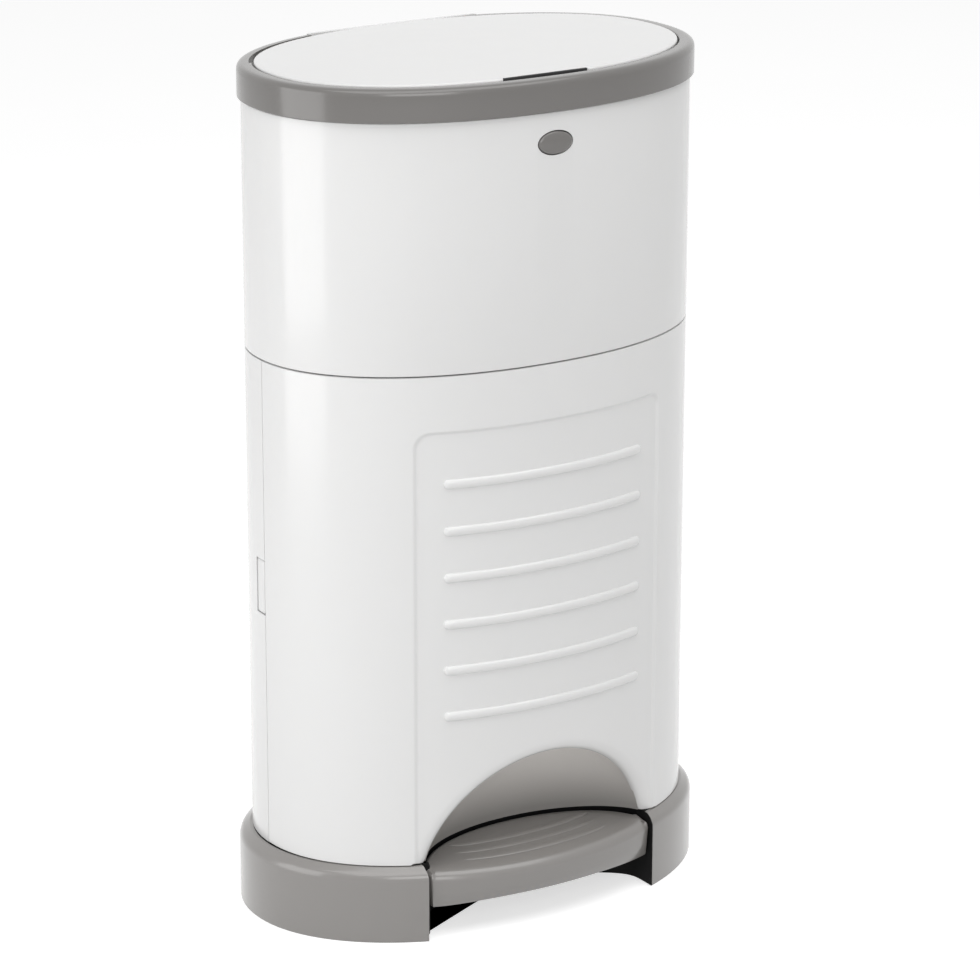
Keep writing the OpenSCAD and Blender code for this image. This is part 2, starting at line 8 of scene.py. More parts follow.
import bmesh
import bpy
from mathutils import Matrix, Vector


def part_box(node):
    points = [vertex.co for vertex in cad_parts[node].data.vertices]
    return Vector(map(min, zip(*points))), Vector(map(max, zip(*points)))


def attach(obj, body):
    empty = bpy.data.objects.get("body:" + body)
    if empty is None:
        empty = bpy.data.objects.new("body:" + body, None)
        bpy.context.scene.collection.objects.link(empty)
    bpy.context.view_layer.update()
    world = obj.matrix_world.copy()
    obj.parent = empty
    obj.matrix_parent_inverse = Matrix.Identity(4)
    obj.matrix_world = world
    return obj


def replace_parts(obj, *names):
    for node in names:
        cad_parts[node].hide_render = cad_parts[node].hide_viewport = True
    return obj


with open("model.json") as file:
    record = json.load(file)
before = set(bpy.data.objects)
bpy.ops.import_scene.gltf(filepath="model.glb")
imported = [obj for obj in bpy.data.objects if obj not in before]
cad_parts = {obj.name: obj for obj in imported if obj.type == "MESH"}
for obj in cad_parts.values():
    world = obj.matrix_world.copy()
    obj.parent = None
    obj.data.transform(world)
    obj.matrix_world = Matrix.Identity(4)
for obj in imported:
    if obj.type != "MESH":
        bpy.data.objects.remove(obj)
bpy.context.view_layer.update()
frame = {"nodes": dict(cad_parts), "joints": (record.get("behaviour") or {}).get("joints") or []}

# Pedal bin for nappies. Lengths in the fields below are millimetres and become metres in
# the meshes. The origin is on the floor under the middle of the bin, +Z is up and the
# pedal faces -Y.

MM = 0.001
TAU = 2 * math.pi
LOG = logging.getLogger("nappy_bin")

# Angles in degrees: edges that bend more stay sharp (SHARP, or SOFT on rounder pieces),
# edges that bend more get a rounding (ROUNDED), and flatter ones are taken out (FLAT).
SHARP = 32.0
SOFT = 40.0
ROUNDED = 35.0
FLAT = 1.0

Pair = tuple[float, float]
Triple = tuple[float, float, float]
Profile = list[Pair]


class Body(Enum):
    """Moving bodies of the bin, by their names in the frame."""

    CASING = "casing"
    LID = "lid"
    FRONT_FLAP = "front_flap"
    REAR_FLAP = "rear_flap"
    LIFTER = "lifter"
    PEDAL = "pedal"
    DOOR = "door"
    LOCK = "lock"
    LATCH = "latch"


class Slot(Enum):
    """Material slots of the record."""

    WHITE_SHELL = "white_shell"
    WHITE_INNER = "white_inner"
    GREY_SHELL = "grey_shell"
    GREY_PART = "grey_part"
    DARK_PART = "dark_part"
    SOFT_RUBBER = "soft_rubber"
    STEEL = "steel"
    FILM = "film"


# ---------------------------------------------------------------- outlines and profiles


@dataclass(frozen=True)
class Oval:
    """Superellipse outline in the XY plane.

    Args:
        a: half width along X.
        b: half depth along Y.
        n: roundness, 2 for an ellipse and more for a squarer outline.
    """

    a: float
    b: float
    n: float

    def point(self, t: float) -> Pair:
        """Return the point at parameter t, counted from +X towards +Y.

        Args:
            t: parameter, from 0 to a full turn.

        Returns:
            The point in millimetres.
        """
        c, s = math.cos(t), math.sin(t)
        x = math.copysign(self.a * abs(c) ** (2 / self.n), c)
        y = math.copysign(self.b * abs(s) ** (2 / self.n), s)
        return x, y

    def normal(self, p: Pair) -> Pair:
        """Return the outward unit normal at a point of the outline.

        Args:
            p: the point.

        Returns:
            The normal.
        """
        gx = math.copysign(abs(p[0] / self.a) ** (self.n - 1) / self.a, p[0])
        gy = math.copysign(abs(p[1] / self.b) ** (self.n - 1) / self.b, p[1])
        size = math.hypot(gx, gy)
        return gx / size, gy / size

    def depth_at(self, x: float) -> float:
        """Return the distance of the outline from the X axis at x."""
        return self.b * max(0.0, 1 - (abs(x) / self.a) ** self.n) ** (1 / self.n)

    def width_at(self, y: float) -> float:
        """Return the distance of the outline from the Y axis at y."""
        return self.a * max(0.0, 1 - (abs(y) / self.b) ** self.n) ** (1 / self.n)

    def grown(self, d: float) -> "Oval":
        """Return the outline with both half sizes changed by d."""
        return Oval(self.a + d, self.b + d, self.n)

    def param_at(self, x: float, front: bool) -> float:
        """Return the parameter of the outline's point at x, in front or at the back.

        Args:
            x: place of the point.
            front: whether it lies in front.

        Returns:
            The parameter.
        """
        c = math.copysign(min(1.0, abs(x) / self.a) ** (self.n / 2), x)
        t = math.acos(max(-1.0, min(1.0, c)))
        return TAU - t if front else t


@dataclass(frozen=True)
class Station:
    """One place on a sweep's path.

    Args:
        at: point on the path.
        out: unit vector along which a profile's first coordinate is laid.
    """

    at: Pair
    out: Pair

    def lay(self, off: float, z: float) -> Triple:
        """Return the point that lies off from the path, at height z."""
        return self.at[0] + self.out[0] * off, self.at[1] + self.out[1] * off, z


def spread(start: float, end: float, count: int) -> list[float]:
    """Return evenly spaced numbers from start to end, both included."""
    return [start + (end - start) * i / (count - 1) for i in range(count)]


def ease(x: float) -> float:
    """Return a smooth step from 0 at x = 0 to 1 at x = 1."""
    x = max(0.0, min(1.0, x))
    return x * x * (3 - 2 * x)


def even_params(oval: Oval, start: float, end: float, count: int) -> list[float]:
    """Return parameters that are evenly spaced along an outline.

    Args:
        oval: outline to walk along.
        start: first parameter.
        end: last parameter.
        count: number of parameters, both ends included.

    Returns:
        Parameters with equal lengths of outline between them.
    """
    fine = spread(start, end, 40 * count)
    length, walked = 0.0, [0.0]
    for t0, t1 in zip(fine, fine[1:]):
        length += math.dist(oval.point(t0), oval.point(t1))
        walked.append(length)
    params, i = [], 0
    for k in range(count):
        want = length * k / (count - 1)
        while i < len(fine) - 2 and walked[i + 1] < want:
            i += 1
        part = (want - walked[i]) / (walked[i + 1] - walked[i])
        params.append(fine[i] + (fine[i + 1] - fine[i]) * part)
    return params


def stations(oval: Oval, params: Iterable[float]) -> list[Station]:
    """Return path stations on an outline at the given parameters."""
    points = [oval.point(t) for t in params]
    return [Station(p, oval.normal(p)) for p in points]


def walk(oval: Oval, start: float, end: float, count: int) -> list[Station]:
    """Return evenly spaced stations on an outline between two parameters."""
    return stations(oval, even_params(oval, start, end, count))


def ellipse(half: Pair, count: int) -> list[Pair]:
    """Return evenly turned points of an ellipse with the given half sizes."""
    turns = [TAU * k / count for k in range(count)]
    return [(half[0] * math.cos(turn), half[1] * math.sin(turn)) for turn in turns]


def rounded(corners: Sequence[Triple], steps: int = 5) -> Profile:
    """Round the corners of a closed polygon.

    Args:
        corners: x, y and radius of each corner, in order.
        steps: number of segments in each rounded corner.

    Returns:
        Points of the polygon with its corners replaced by arcs.
    """
    out: Profile = []
    count = len(corners)
    for i, (x, y, r) in enumerate(corners):
        if r <= 0:
            out.append((x, y))
            continue
        here = Vector((x, y))
        before = Vector(corners[i - 1][:2]) - here
        after = Vector(corners[(i + 1) % count][:2]) - here
        half = before.angle(after) / 2
        reach = min(r / math.tan(half), 0.49 * before.length, 0.49 * after.length)
        start = here + before.normalized() * reach
        end = here + after.normalized() * reach
        for k in range(steps + 1):
            u = k / steps
            p = start * (1 - u) ** 2 + here * (2 * u * (1 - u)) + end * u ** 2
            out.append((p.x, p.y))
    return out


# ---------------------------------------------------------------- meshes


def placed(name: str, data: bpy.types.ID) -> bpy.types.Object:
    """Return a new object with the data, linked to the scene.

    Args:
        name: name of the object.
        data: mesh, lamp or camera that it shows.

    Returns:
        The object.
    """
    made = bpy.data.objects.new(name, data)
    bpy.context.scene.collection.objects.link(made)
    return made


def metres(points: Iterable[Sequence[float]]) -> list[tuple[float, ...]]:
    """Return points in metres that are given in millimetres."""
    return [tuple(c * MM for c in p) for p in points]


def piece_from(name: str, verts: Sequence[Sequence[float]], faces: Sequence[Sequence[int]],
               sharp: float = SHARP) -> bpy.types.Object:
    """Make a mesh object from points in millimetres, with outward faces.

    Args:
        name: name of the new object.
        verts: points in millimetres.
        faces: indices of each face's points.
        sharp: edges that bend more than this many degrees stay sharp.

    Returns:
        The new object, linked to the scene.
    """
    mesh = bpy.data.meshes.new(name)
    mesh.from_pydata(metres(verts), [], [list(f) for f in faces])
    work = bmesh.new()
    work.from_mesh(mesh)
    bmesh.ops.remove_doubles(work, verts=work.verts, dist=1e-7)
    bmesh.ops.dissolve_degenerate(work, edges=work.edges, dist=1e-7)
    bmesh.ops.recalc_face_normals(work, faces=work.faces)
    work.to_mesh(mesh)
    work.free()
    smooth(mesh, sharp)
    return placed(name, mesh)


def smooth(mesh: bpy.types.Mesh, sharp: float = SHARP) -> None:
    """Shade a mesh smooth but for the edges that bend more than sharp degrees.

    Args:
        mesh: mesh to shade.
        sharp: edges that bend more than this many degrees stay sharp.
    """
    mesh.polygons.foreach_set("use_smooth", [True] * len(mesh.polygons))
    mesh.set_sharp_from_angle(angle=math.radians(sharp))
    mesh.update()


def sweep(name: str, path: Sequence[Station], profile: Callable[[int], Profile],
          closed: bool = False, sharp: float = SHARP) -> bpy.types.Object:
    """Carry a closed profile along a path.

    Args:
        name: name of the new object.
        path: stations of the path.
        profile: gives the profile at a station's index, always with as many points. Its
            first coordinate is laid along the station's normal and its second along Z.
        closed: join the last station to the first.
        sharp: edges that bend more than this many degrees stay sharp.

    Returns:
        The swept solid, with flat ends unless it is closed.
    """
    loops = [[place.lay(off, z) for off, z in profile(i)] for i, place in enumerate(path)]
    return rings(name, loops, sharp, closed)


def outward(plan: Sequence[Pair]) -> list[Pair]:
    """Return the outward unit normal at each point of a closed plan that runs anticlockwise.

    Args:
        plan: points of the plan.

    Returns:
        One normal for each point.
    """
    out: list[Pair] = []
    count = len(plan)
    for k in range(count):
        (x0, y0), (x1, y1) = plan[k - 1], plan[(k + 1) % count]
        size = math.hypot(x1 - x0, y1 - y0)
        out.append(((y1 - y0) / size, -(x1 - x0) / size))
    return out


def rings(name: str, loops: Sequence[Sequence[Sequence[float]]], sharp: float = SHARP,
          closed: bool = False) -> bpy.types.Object:
    """Build a solid through rings of points.

    Args:
        name: name of the new object.
        loops: rings with as many points each, from one end of the solid to the other.
        sharp: edges that bend more than this many degrees stay sharp.
        closed: join the last ring to the first.

    Returns:
        The solid, with a flat face at the first and the last ring unless it is closed.
    """
    count, last = len(loops[0]), len(loops) - 1
    faces: list[list[int]] = []
    for i in range(last + closed):
        a, b = i * count, (i + 1) % len(loops) * count
        faces += [[a + k, b + k, b + (k + 1) % count, a + (k + 1) % count] for k in range(count)]
    if not closed:
        faces += [list(range(count)), [last * count + k for k in range(count)]]
    return piece_from(name, [p for loop in loops for p in loop], faces, sharp)


def turned(name: str, radius: float, section: Sequence[Pair], count: int,
           sharp: float) -> bpy.types.Object:
    """Build a round solid on the Z axis.

    Args:
        name: name of the new object.
        radius: its largest radius.
        section: share of the radius and height of each ring.
        count: number of flats round it.
        sharp: edges that bend more than this many degrees stay sharp.

    Returns:
        The solid.
    """
    loops = [[(x, y, z) for x, y in ellipse((radius * share, radius * share), count)]
             for share, z in section]
    return rings(name, loops, sharp)


def grid_faces(rows: int, cols: int) -> list[list[int]]:
    """Return the quads of a grid stored row by row."""
    return [[r * cols + c, r * cols + c + 1, (r + 1) * cols + c + 1, (r + 1) * cols + c]
            for r in range(rows - 1) for c in range(cols - 1)]


def join(name: str, pieces: Sequence[bpy.types.Object]) -> bpy.types.Object:
    """Join plain mesh objects into one and remove the originals.

    Args:
        name: name of the new object.
        pieces: objects to join.

    Returns:
        The joined object.
    """
    work = bmesh.new()
    for piece in pieces:
        work.from_mesh(piece.data)
    mesh = bpy.data.meshes.new(name)
    work.to_mesh(mesh)
    work.free()
    for piece in pieces:
        bpy.data.objects.remove(piece)
    return placed(name, mesh)


def bake(piece: bpy.types.Object, sharp: float = SHARP) -> bpy.types.Object:
    """Apply an object's modifiers to its mesh.

    Args:
        piece: object with modifiers.
        sharp: edges that bend more than this many degrees stay sharp.

    Returns:
        The same object with a plain mesh.
    """
    graph = bpy.context.evaluated_depsgraph_get()
    graph.update()
    mesh = bpy.data.meshes.new_from_object(piece.evaluated_get(graph), depsgraph=graph)
    piece.modifiers.clear()
    piece.data = mesh
    smooth(mesh, sharp)
    return piece


def cut(piece: bpy.types.Object, tool: bpy.types.Object,
        sharp: float = SHARP) -> bpy.types.Object:
    """Cut one solid out of another and remove the cutting one.

    Args:
        piece: solid that is cut.
        tool: solid that is cut out and removed.
        sharp: edges that bend more than this many degrees stay sharp.

    Returns:
        The cut piece.
    """
    modifier = piece.modifiers.new("cut", "BOOLEAN")
    modifier.operation = "DIFFERENCE"
    modifier.solver = "EXACT"
    modifier.object = tool
    bake(piece, sharp)
    bpy.data.objects.remove(tool)
    return piece


def block(name: str, low: Sequence[float], high: Sequence[float]) -> bpy.types.Object:
    """Make a box from its lowest and highest corners, used for cutting.

    Args:
        name: name of the new object.
        low: lowest corner in millimetres.
        high: highest corner.

    Returns:
        The box.
    """
    (x0, y0, z0), (x1, y1, z1) = low, high
    verts = [(x, y, z) for x in (x0, x1) for y in (y0, y1) for z in (z0, z1)]
    faces = [[0, 1, 3, 2], [4, 6, 7, 5], [0, 4, 5, 1], [2, 3, 7, 6], [0, 2, 6, 4], [1, 5, 7, 3]]
    return piece_from(name, verts, faces)


def softened(node: str, name: str, width: float) -> bpy.types.Object:
    """Copy a node of the frame and round its edges.

    Args:
        node: name of the node.
        name: name of the new object.
        width: width of the rounding in millimetres.

    Returns:
        The new object, which replaces the node.
    """
    work = bmesh.new()
    work.from_mesh(frame["nodes"][node].data)
    bmesh.ops.remove_doubles(work, verts=work.verts, dist=1e-6)
    bmesh.ops.dissolve_limit(work, angle_limit=math.radians(FLAT), verts=work.verts,
                             edges=work.edges)
    mesh = bpy.data.meshes.new(name)
    work.to_mesh(mesh)
    work.free()
    piece = placed(name, mesh)
    bevel = piece.modifiers.new("edges", "BEVEL")
    bevel.width = width * MM
    bevel.segments = 2
    bevel.limit_method = "ANGLE"
    bevel.angle_limit = math.radians(ROUNDED)
    bake(piece, SOFT)
    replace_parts(piece, node)
    return piece


# ---------------------------------------------------------------- node trees and finishes


class Nodes:
    """A node tree whose nodes are added with their inputs set or linked by name."""

    def __init__(self, tree: bpy.types.NodeTree) -> None:
        """Work in the given tree."""
        self.tree = tree

    def link(self, source: bpy.types.NodeSocket, target: bpy.types.NodeSocket) -> None:
        """Join two sockets."""
        self.tree.links.new(source, target)

    def add(self, kind: str, values: Optional[dict[object, object]] = None,
            **settings: object) -> bpy.types.Node:
        """Add a node.

        Args:
            kind: type of the node.
            values: value or socket for each input, by name or number.
            settings: properties of the node.

        Returns:
            The new node.
        """
        node = self.tree.nodes.new(kind)
        for key, value in settings.items():
            setattr(node, key, value)
        for key, value in (values or {}).items():
            if isinstance(value, bpy.types.NodeSocket):
                self.link(value, node.inputs[key])
            else:
                node.inputs[key].default_value = value
        return node


class Tree(Nodes):
    """A material's node tree, with one short method for each kind of texture."""

    def __init__(self, name: str) -> None:
        """Start an empty material with Object coordinates.

        Args:
            name: name of the material.
        """
        self.material = bpy.data.materials.new(name)
        self.material.use_nodes = True
        super().__init__(self.material.node_tree)
        self.tree.nodes.clear()
        self.output = self.add("ShaderNodeOutputMaterial")
        self.place = self.add("ShaderNodeTexCoord").outputs["Object"]

    def surface(self, looks: dict[object, object]) -> None:
        """Finish the tree with a surface shader that has the given inputs."""
        shader = self.add("ShaderNodeBsdfPrincipled", looks)
        self.link(shader.outputs["BSDF"], self.output.inputs["Surface"])

    def noise(self, scale: float, detail: float,
              stretch: Optional[Triple] = None) -> bpy.types.NodeSocket:
        """Add a noise texture and return its value.

        Args:
            scale: number of features in a metre.
            detail: octaves of finer noise.
            stretch: scale per axis, for streaks.

        Returns:
            The noise's value, from 0 to 1.
        """
        place = self.place
        if stretch:
            mapping = self.add("ShaderNodeMapping", {"Scale": stretch, "Vector": place})
            place = mapping.outputs["Vector"]
        node = self.add("ShaderNodeTexNoise", {"Scale": scale, "Detail": detail, "Vector": place})
        return node.outputs["Fac"]

    def ramp(self, value: bpy.types.NodeSocket,
             stops: Sequence[tuple[float, Triple]]) -> bpy.types.NodeSocket:
        """Turn a value into a colour through a ramp with the given stops.

        Args:
            value: value to turn.
            stops: place and colour of both stops.

        Returns:
            The colour.
        """
        node = self.add("ShaderNodeValToRGB", {"Fac": value})
        for element, (at, colour) in zip(node.color_ramp.elements, stops):
            element.position = at
            element.color = (*colour, 1.0)
        return node.outputs["Color"]

    def climb(self, low: float, high: float) -> bpy.types.NodeSocket:
        """Return a slightly uneven value that goes from 0 to 1 between two heights in mm.

        Args:
            low: height at which it is 0.
            high: height at which it is 1.

        Returns:
            The value.
        """
        split = self.add("ShaderNodeSeparateXYZ", {"Vector": self.place})
        node = self.add("ShaderNodeMapRange", {
            "From Min": low * MM, "From Max": high * MM, "Value": split.outputs["Z"]})
        wander = self.span(self.noise(scale=9.0, detail=3.0), -0.04, 0.04)
        uneven = self.add("ShaderNodeMath", {0: wander, 1: 1.0, 2: node.outputs["Result"]},
                          operation="MULTIPLY_ADD")
        return uneven.outputs["Value"]

    def span(self, value: bpy.types.NodeSocket, low: float, high: float) -> bpy.types.NodeSocket:
        """Carry the middle of a noise's range to the range from low to high.

        Args:
            value: the noise.
            low: where the range starts.
            high: where it ends.

        Returns:
            The carried value.
        """
        node = self.add("ShaderNodeMapRange", {
            "From Min": 0.3, "From Max": 0.7, "To Min": max(0.02, low), "To Max": high,
            "Value": value})
        return node.outputs["Result"]

    def bump(self, height: bpy.types.NodeSocket, distance: float,
             under: Optional[bpy.types.NodeSocket] = None) -> bpy.types.NodeSocket:
        """Add relief and return the bent normal.

        Args:
            height: height of the relief, from 0 to 1.
            distance: depth of the relief in millimetres.
            under: normal to start from, or None for the surface's own.

        Returns:
            The bent normal.
        """
        node = self.add("ShaderNodeBump", {
            "Strength": 1.0, "Distance": distance * MM, "Height": height})
        if under is not None:
            self.link(under, node.inputs["Normal"])
        return node.outputs["Normal"]


@dataclass(frozen=True)
class Finish:
    """Look of a surface, made once as a material.

    Args:
        name: name of the material.
        colour: linear base colour.
    """

    name: str
    colour: Triple

    def build(self) -> bpy.types.Material:
        """Return the material, made once.

        Returns:
            The material.
        """
        if self.name not in bpy.data.materials:
            self.paint(Tree(self.name))
        return bpy.data.materials[self.name]

    def paint(self, tree: Tree) -> None:
        """Build the surface in the material's tree, as each kind of finish does."""
        raise NotImplementedError(tree.material.name)

    def toned(self, factor: float, lift: float = 0.0) -> Triple:
        """Return the base colour times a factor, at most 1, with a little added."""
        return tuple(min(1.0, c * factor + lift) for c in self.colour)


@dataclass(frozen=True)
class Plastic(Finish):
    """Moulded plastic with a fine skin texture and a slow drift of colour.

    Args:
        roughness: middle roughness of the skin.
        spread: how far the roughness wanders either way.
        drift: relative change of colour over the surface.
        grain: size of the skin's texture in millimetres.
        relief: height of the texture in millimetres, 0 for none.
        coat: weight of the glossy top layer.
        shine: level of the plain reflection, 0.5 for common plastic.
        bleed: share of light that goes through the surface and comes out beside it.
        heights: where the colour goes from its darker to its lighter end, if it is to change
            upwards only; that is painted shade and light, darker low down and lighter higher up.
    """

    roughness: float = 0.35
    spread: float = 0.04
    drift: float = 0.03
    grain: float = 0.6
    relief: float = 0.02
    coat: float = 0.0
    shine: float = 0.5
    bleed: float = 0.0
    heights: Optional[Pair] = None

    def paint(self, tree: Tree) -> None:
        """Build the moulded skin in the material's tree.

        Args:
            tree: empty tree of the material.
        """
        low, high = self.toned(1 - self.drift), self.toned(1 + self.drift)
        # With heights the colour is painted shade and light, darker low down and lighter higher up;
        # otherwise it wanders at random.
        if self.heights:
            tone = tree.ramp(tree.climb(*self.heights), [(0.0, low), (1.0, high)])
        else:
            tone = tree.ramp(tree.noise(scale=9.0, detail=3.0), [(0.35, low), (0.65, high)])
        cloud = tree.noise(scale=42.0, detail=4.0)
        looks = {"Base Color": tone, "Specular IOR Level": self.shine,
                 "Roughness": tree.span(cloud, self.roughness - self.spread,
                                        self.roughness + self.spread)}
        if self.coat:
            looks |= {"Coat Weight": self.coat, "Coat Roughness": 0.12}
        if self.bleed:
            looks |= {"Subsurface Weight": self.bleed, "Subsurface Radius": (1.0, 0.9, 0.8),
                      "Subsurface Scale": 0.002}
        if self.relief:
            fine = tree.bump(tree.noise(scale=1.0 / (self.grain * MM), detail=2.0), self.relief)
            wave = tree.noise(scale=22.0, detail=1.0)
            looks["Normal"] = tree.bump(wave, self.relief * 3, fine)
        tree.surface(looks)


@dataclass(frozen=True)
class Metal(Finish):
    """Drawn or plated steel with fine streaks.

    Args:
        roughness: middle roughness.
        streak: direction in which the streaks are stretched, as a scale per axis.
    """

    roughness: float = 0.28
    streak: Triple = (40.0, 900.0, 900.0)

    def paint(self, tree: Tree) -> None:
        """Build the streaked metal in the material's tree.

        Args:
            tree: empty tree of the material.
        """
        lines = tree.noise(scale=1.0, detail=3.0, stretch=self.streak)
        tree.surface({
            "Base Color": tree.ramp(lines, [(0.3, self.toned(0.86)), (0.7, self.colour)]),
            "Roughness": tree.span(lines, self.roughness - 0.08, self.roughness + 0.12),
            "Metallic": 1.0, "Normal": tree.bump(lines, 0.01)})


@dataclass(frozen=True)
class Rubber(Finish):
    """Soft rubber with a fine dull bloom."""

    def paint(self, tree: Tree) -> None:
        """Build the dull bloom in the material's tree.

        Args:
            tree: empty tree of the material.
        """
        bloom = tree.noise(scale=120.0, detail=5.0)
        pale = self.toned(1.5, 0.01)
        tree.surface({
            "Base Color": tree.ramp(bloom, [(0.4, self.colour), (0.75, pale)]),
            "Roughness": tree.span(bloom, 0.62, 0.85), "Sheen Weight": 0.15,
            "Normal": tree.bump(tree.noise(scale=2600.0, detail=2.0), 0.04)})


@dataclass(frozen=True)
class Film(Finish):
    """Thin translucent bag film, creased where it is packed."""

    def paint(self, tree: Tree) -> None:
        """Build the creased film in the material's tree.

        Args:
            tree: empty tree of the material.
        """
        crease = tree.noise(scale=1.0, detail=4.0, stretch=(60.0, 60.0, 700.0))
        tree.surface({
            "Base Color": tree.ramp(crease, [(0.35, self.toned(0.78)), (0.6, self.colour)]),
            "Roughness": tree.span(crease, 0.22, 0.42), "Normal": tree.bump(crease, 0.5),
            "Subsurface Weight": 0.3, "Subsurface Scale": 0.004})


WHITE = Plastic("polished_white", (0.775, 0.774, 0.77), roughness=0.2, spread=0.015,
                drift=0.004, grain=2.5, relief=0.002, coat=0.3, bleed=0.06)
WHITE_INSIDE = Plastic("dull_white", (0.70, 0.70, 0.69), roughness=0.5, drift=0.02, grain=0.9)
GREY = Plastic("warm_grey", (0.235, 0.224, 0.214), roughness=0.3, spread=0.015, drift=0.008,
               relief=0.0, coat=0.7)
GREY_RIM = Plastic("warm_grey_rim", (0.162, 0.155, 0.148), roughness=0.2, spread=0.015,
                   drift=0.01, grain=2.5, relief=0.003, coat=0.3)
# The niche: the base's warm grey painted far lighter, with painted shade that darkens it towards
# the bottom, standing in for the light that falls into the niche.
NICHE_PAINTED_LIGHT = Plastic("warm_grey_niche_painted_light", (0.62, 0.598, 0.573), roughness=0.36, spread=0.02,
                     drift=0.5, grain=2.5, relief=0.002, heights=(50.0, 100.0))
GREY_DULL = Plastic("dull_grey", (0.20, 0.195, 0.19), roughness=0.5, grain=0.8)
DARK = Plastic("charcoal", (0.022, 0.022, 0.023), roughness=0.55, spread=0.07, drift=0.08,
               grain=0.8)
# Deep, dull black for the deck and the pedal's well: the well is a dark part, but this black on
# both is also painted shade, so that the gaps round the pedal read as dark as shadow.
SHADE_BLACK = Plastic("deep_black_shade", (0.006, 0.006, 0.006), roughness=0.75, drift=0.08, grain=0.8,
                shine=0.15)
STEEL = Metal("zinc_steel", (0.62, 0.62, 0.63))
RUBBER = Rubber("black_rubber", (0.018, 0.018, 0.018))
FILM = Film("bag_film", (0.42, 0.58, 0.68))


def dress(piece: bpy.types.Object, finish: Finish, slot: Optional[Slot] = None,
          body: Optional[Body] = None) -> bpy.types.Object:
    """Give a piece its finish and the body that it rides on.

    Args:
        piece: object to dress.
        finish: finish of its whole surface.
        slot: slot of the record; not used.
        body: body that it moves with.

    Returns:
        The same object.
    """
    piece.data.materials.clear()
    piece.data.materials.append(finish.build())
    for face in piece.data.polygons:
        face.material_index = 0
    if body:
        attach(piece, body.value)
    LOG.info("%s: %d faces", piece.name, len(piece.data.polygons))
    return piece


# ---------------------------------------------------------------- repeats by node trees


class Repeat(Nodes):
    """A Geometry Nodes tree that ends in Realize Instances and Set Material."""

    def __init__(self, name: str, finish: Finish) -> None:
        """Start a tree with a geometry input and output.

        Args:
            name: name of the tree and of the piece made with it.
            finish: finish set on the result.
        """
        super().__init__(bpy.data.node_groups.new(name, "GeometryNodeTree"))
        self.name = name
        self.finish = finish
        self.values: dict[str, object] = {}
        for side in ("INPUT", "OUTPUT"):
            self.tree.interface.new_socket("Geometry", in_out=side,
                                           socket_type="NodeSocketGeometry")
        self.start = self.add("NodeGroupInput")
        self.end = self.add("NodeGroupOutput")

    def size(self, name: str, value: object,
             kind: str = "NodeSocketFloat") -> bpy.types.NodeSocket:
        """Add a named input with its value and return its socket inside the tree.

        Args:
            name: name of the input.
            value: its value.
            kind: type of its socket.

        Returns:
            The socket.
        """
        self.tree.interface.new_socket(name, in_out="INPUT", socket_type=kind)
        self.values[name] = value
        return self.start.outputs[name]

    def make(self, shape: bpy.types.NodeSocket,
             base: Optional[bpy.types.Object] = None) -> bpy.types.Object:
        """Finish the tree, run it and return the plain mesh.

        Args:
            shape: geometry to output.
            base: object that the tree starts from, removed afterwards.

        Returns:
            The new piece, with a plain mesh.
        """
        real = self.add("GeometryNodeRealizeInstances", {"Geometry": shape})
        coat = self.add("GeometryNodeSetMaterial", {
            "Geometry": real.outputs["Geometry"], "Material": self.finish.build()})
        self.link(coat.outputs["Geometry"], self.end.inputs["Geometry"])
        mesh = base.data if base else bpy.data.meshes.new(self.name)
        piece = placed(self.name, mesh)
        if base:
            bpy.data.objects.remove(base)
        modifier = piece.modifiers.new(self.name, "NODES")
        modifier.node_group = self.tree
        for item in self.tree.interface.items_tree:
            if item.in_out == "INPUT" and item.name in self.values:
                modifier[item.identifier] = self.values[item.name]
        return bake(piece)


def row(name: str, finish: Finish, base: bpy.types.Object, count: int,
        step: Triple) -> bpy.types.Object:
    """Repeat a shape in a straight row.

    Args:
        name: name of the new piece.
        finish: its finish.
        base: shape that is repeated.
        count: number of copies.
        step: distance from one copy to the next in millimetres.

    Returns:
        One piece with all copies.
    """
    tree = Repeat(name, finish)
    line = tree.add("GeometryNodeMeshLine", mode="OFFSET")
    tree.link(tree.size("Count", count, "NodeSocketInt"), line.inputs["Count"])
    tree.link(tree.size("Step", metres([step])[0], "NodeSocketVector"), line.inputs["Offset"])
    copy = tree.add("GeometryNodeInstanceOnPoints", {
        "Points": line.outputs["Mesh"], "Instance": tree.start.outputs["Geometry"]})
    return tree.make(copy.outputs["Instances"], base)


def scatter(name: str, finish: Finish, base: bpy.types.Object,
            places: Sequence[Triple]) -> bpy.types.Object:
    """Repeat a shape at given places.

    Args:
        name: name of the new piece.
        finish: its finish.
        base: shape that is repeated, made round the origin.
        places: points in millimetres.

    Returns:
        One piece with all copies.
    """
    cloud = bpy.data.meshes.new(name + "_places")
    cloud.from_pydata(metres(places), [], [])
    points = placed(name + "_places", cloud)
    tree = Repeat(name, finish)
    shape = tree.size("Shape", base, "NodeSocketObject")
    info = tree.add("GeometryNodeObjectInfo", {"Object": shape})
    copy = tree.add("GeometryNodeInstanceOnPoints", {
        "Points": tree.start.outputs["Geometry"], "Instance": info.outputs["Geometry"]})
    made = tree.make(copy.outputs["Instances"], points)
    bpy.data.objects.remove(base)
    return made


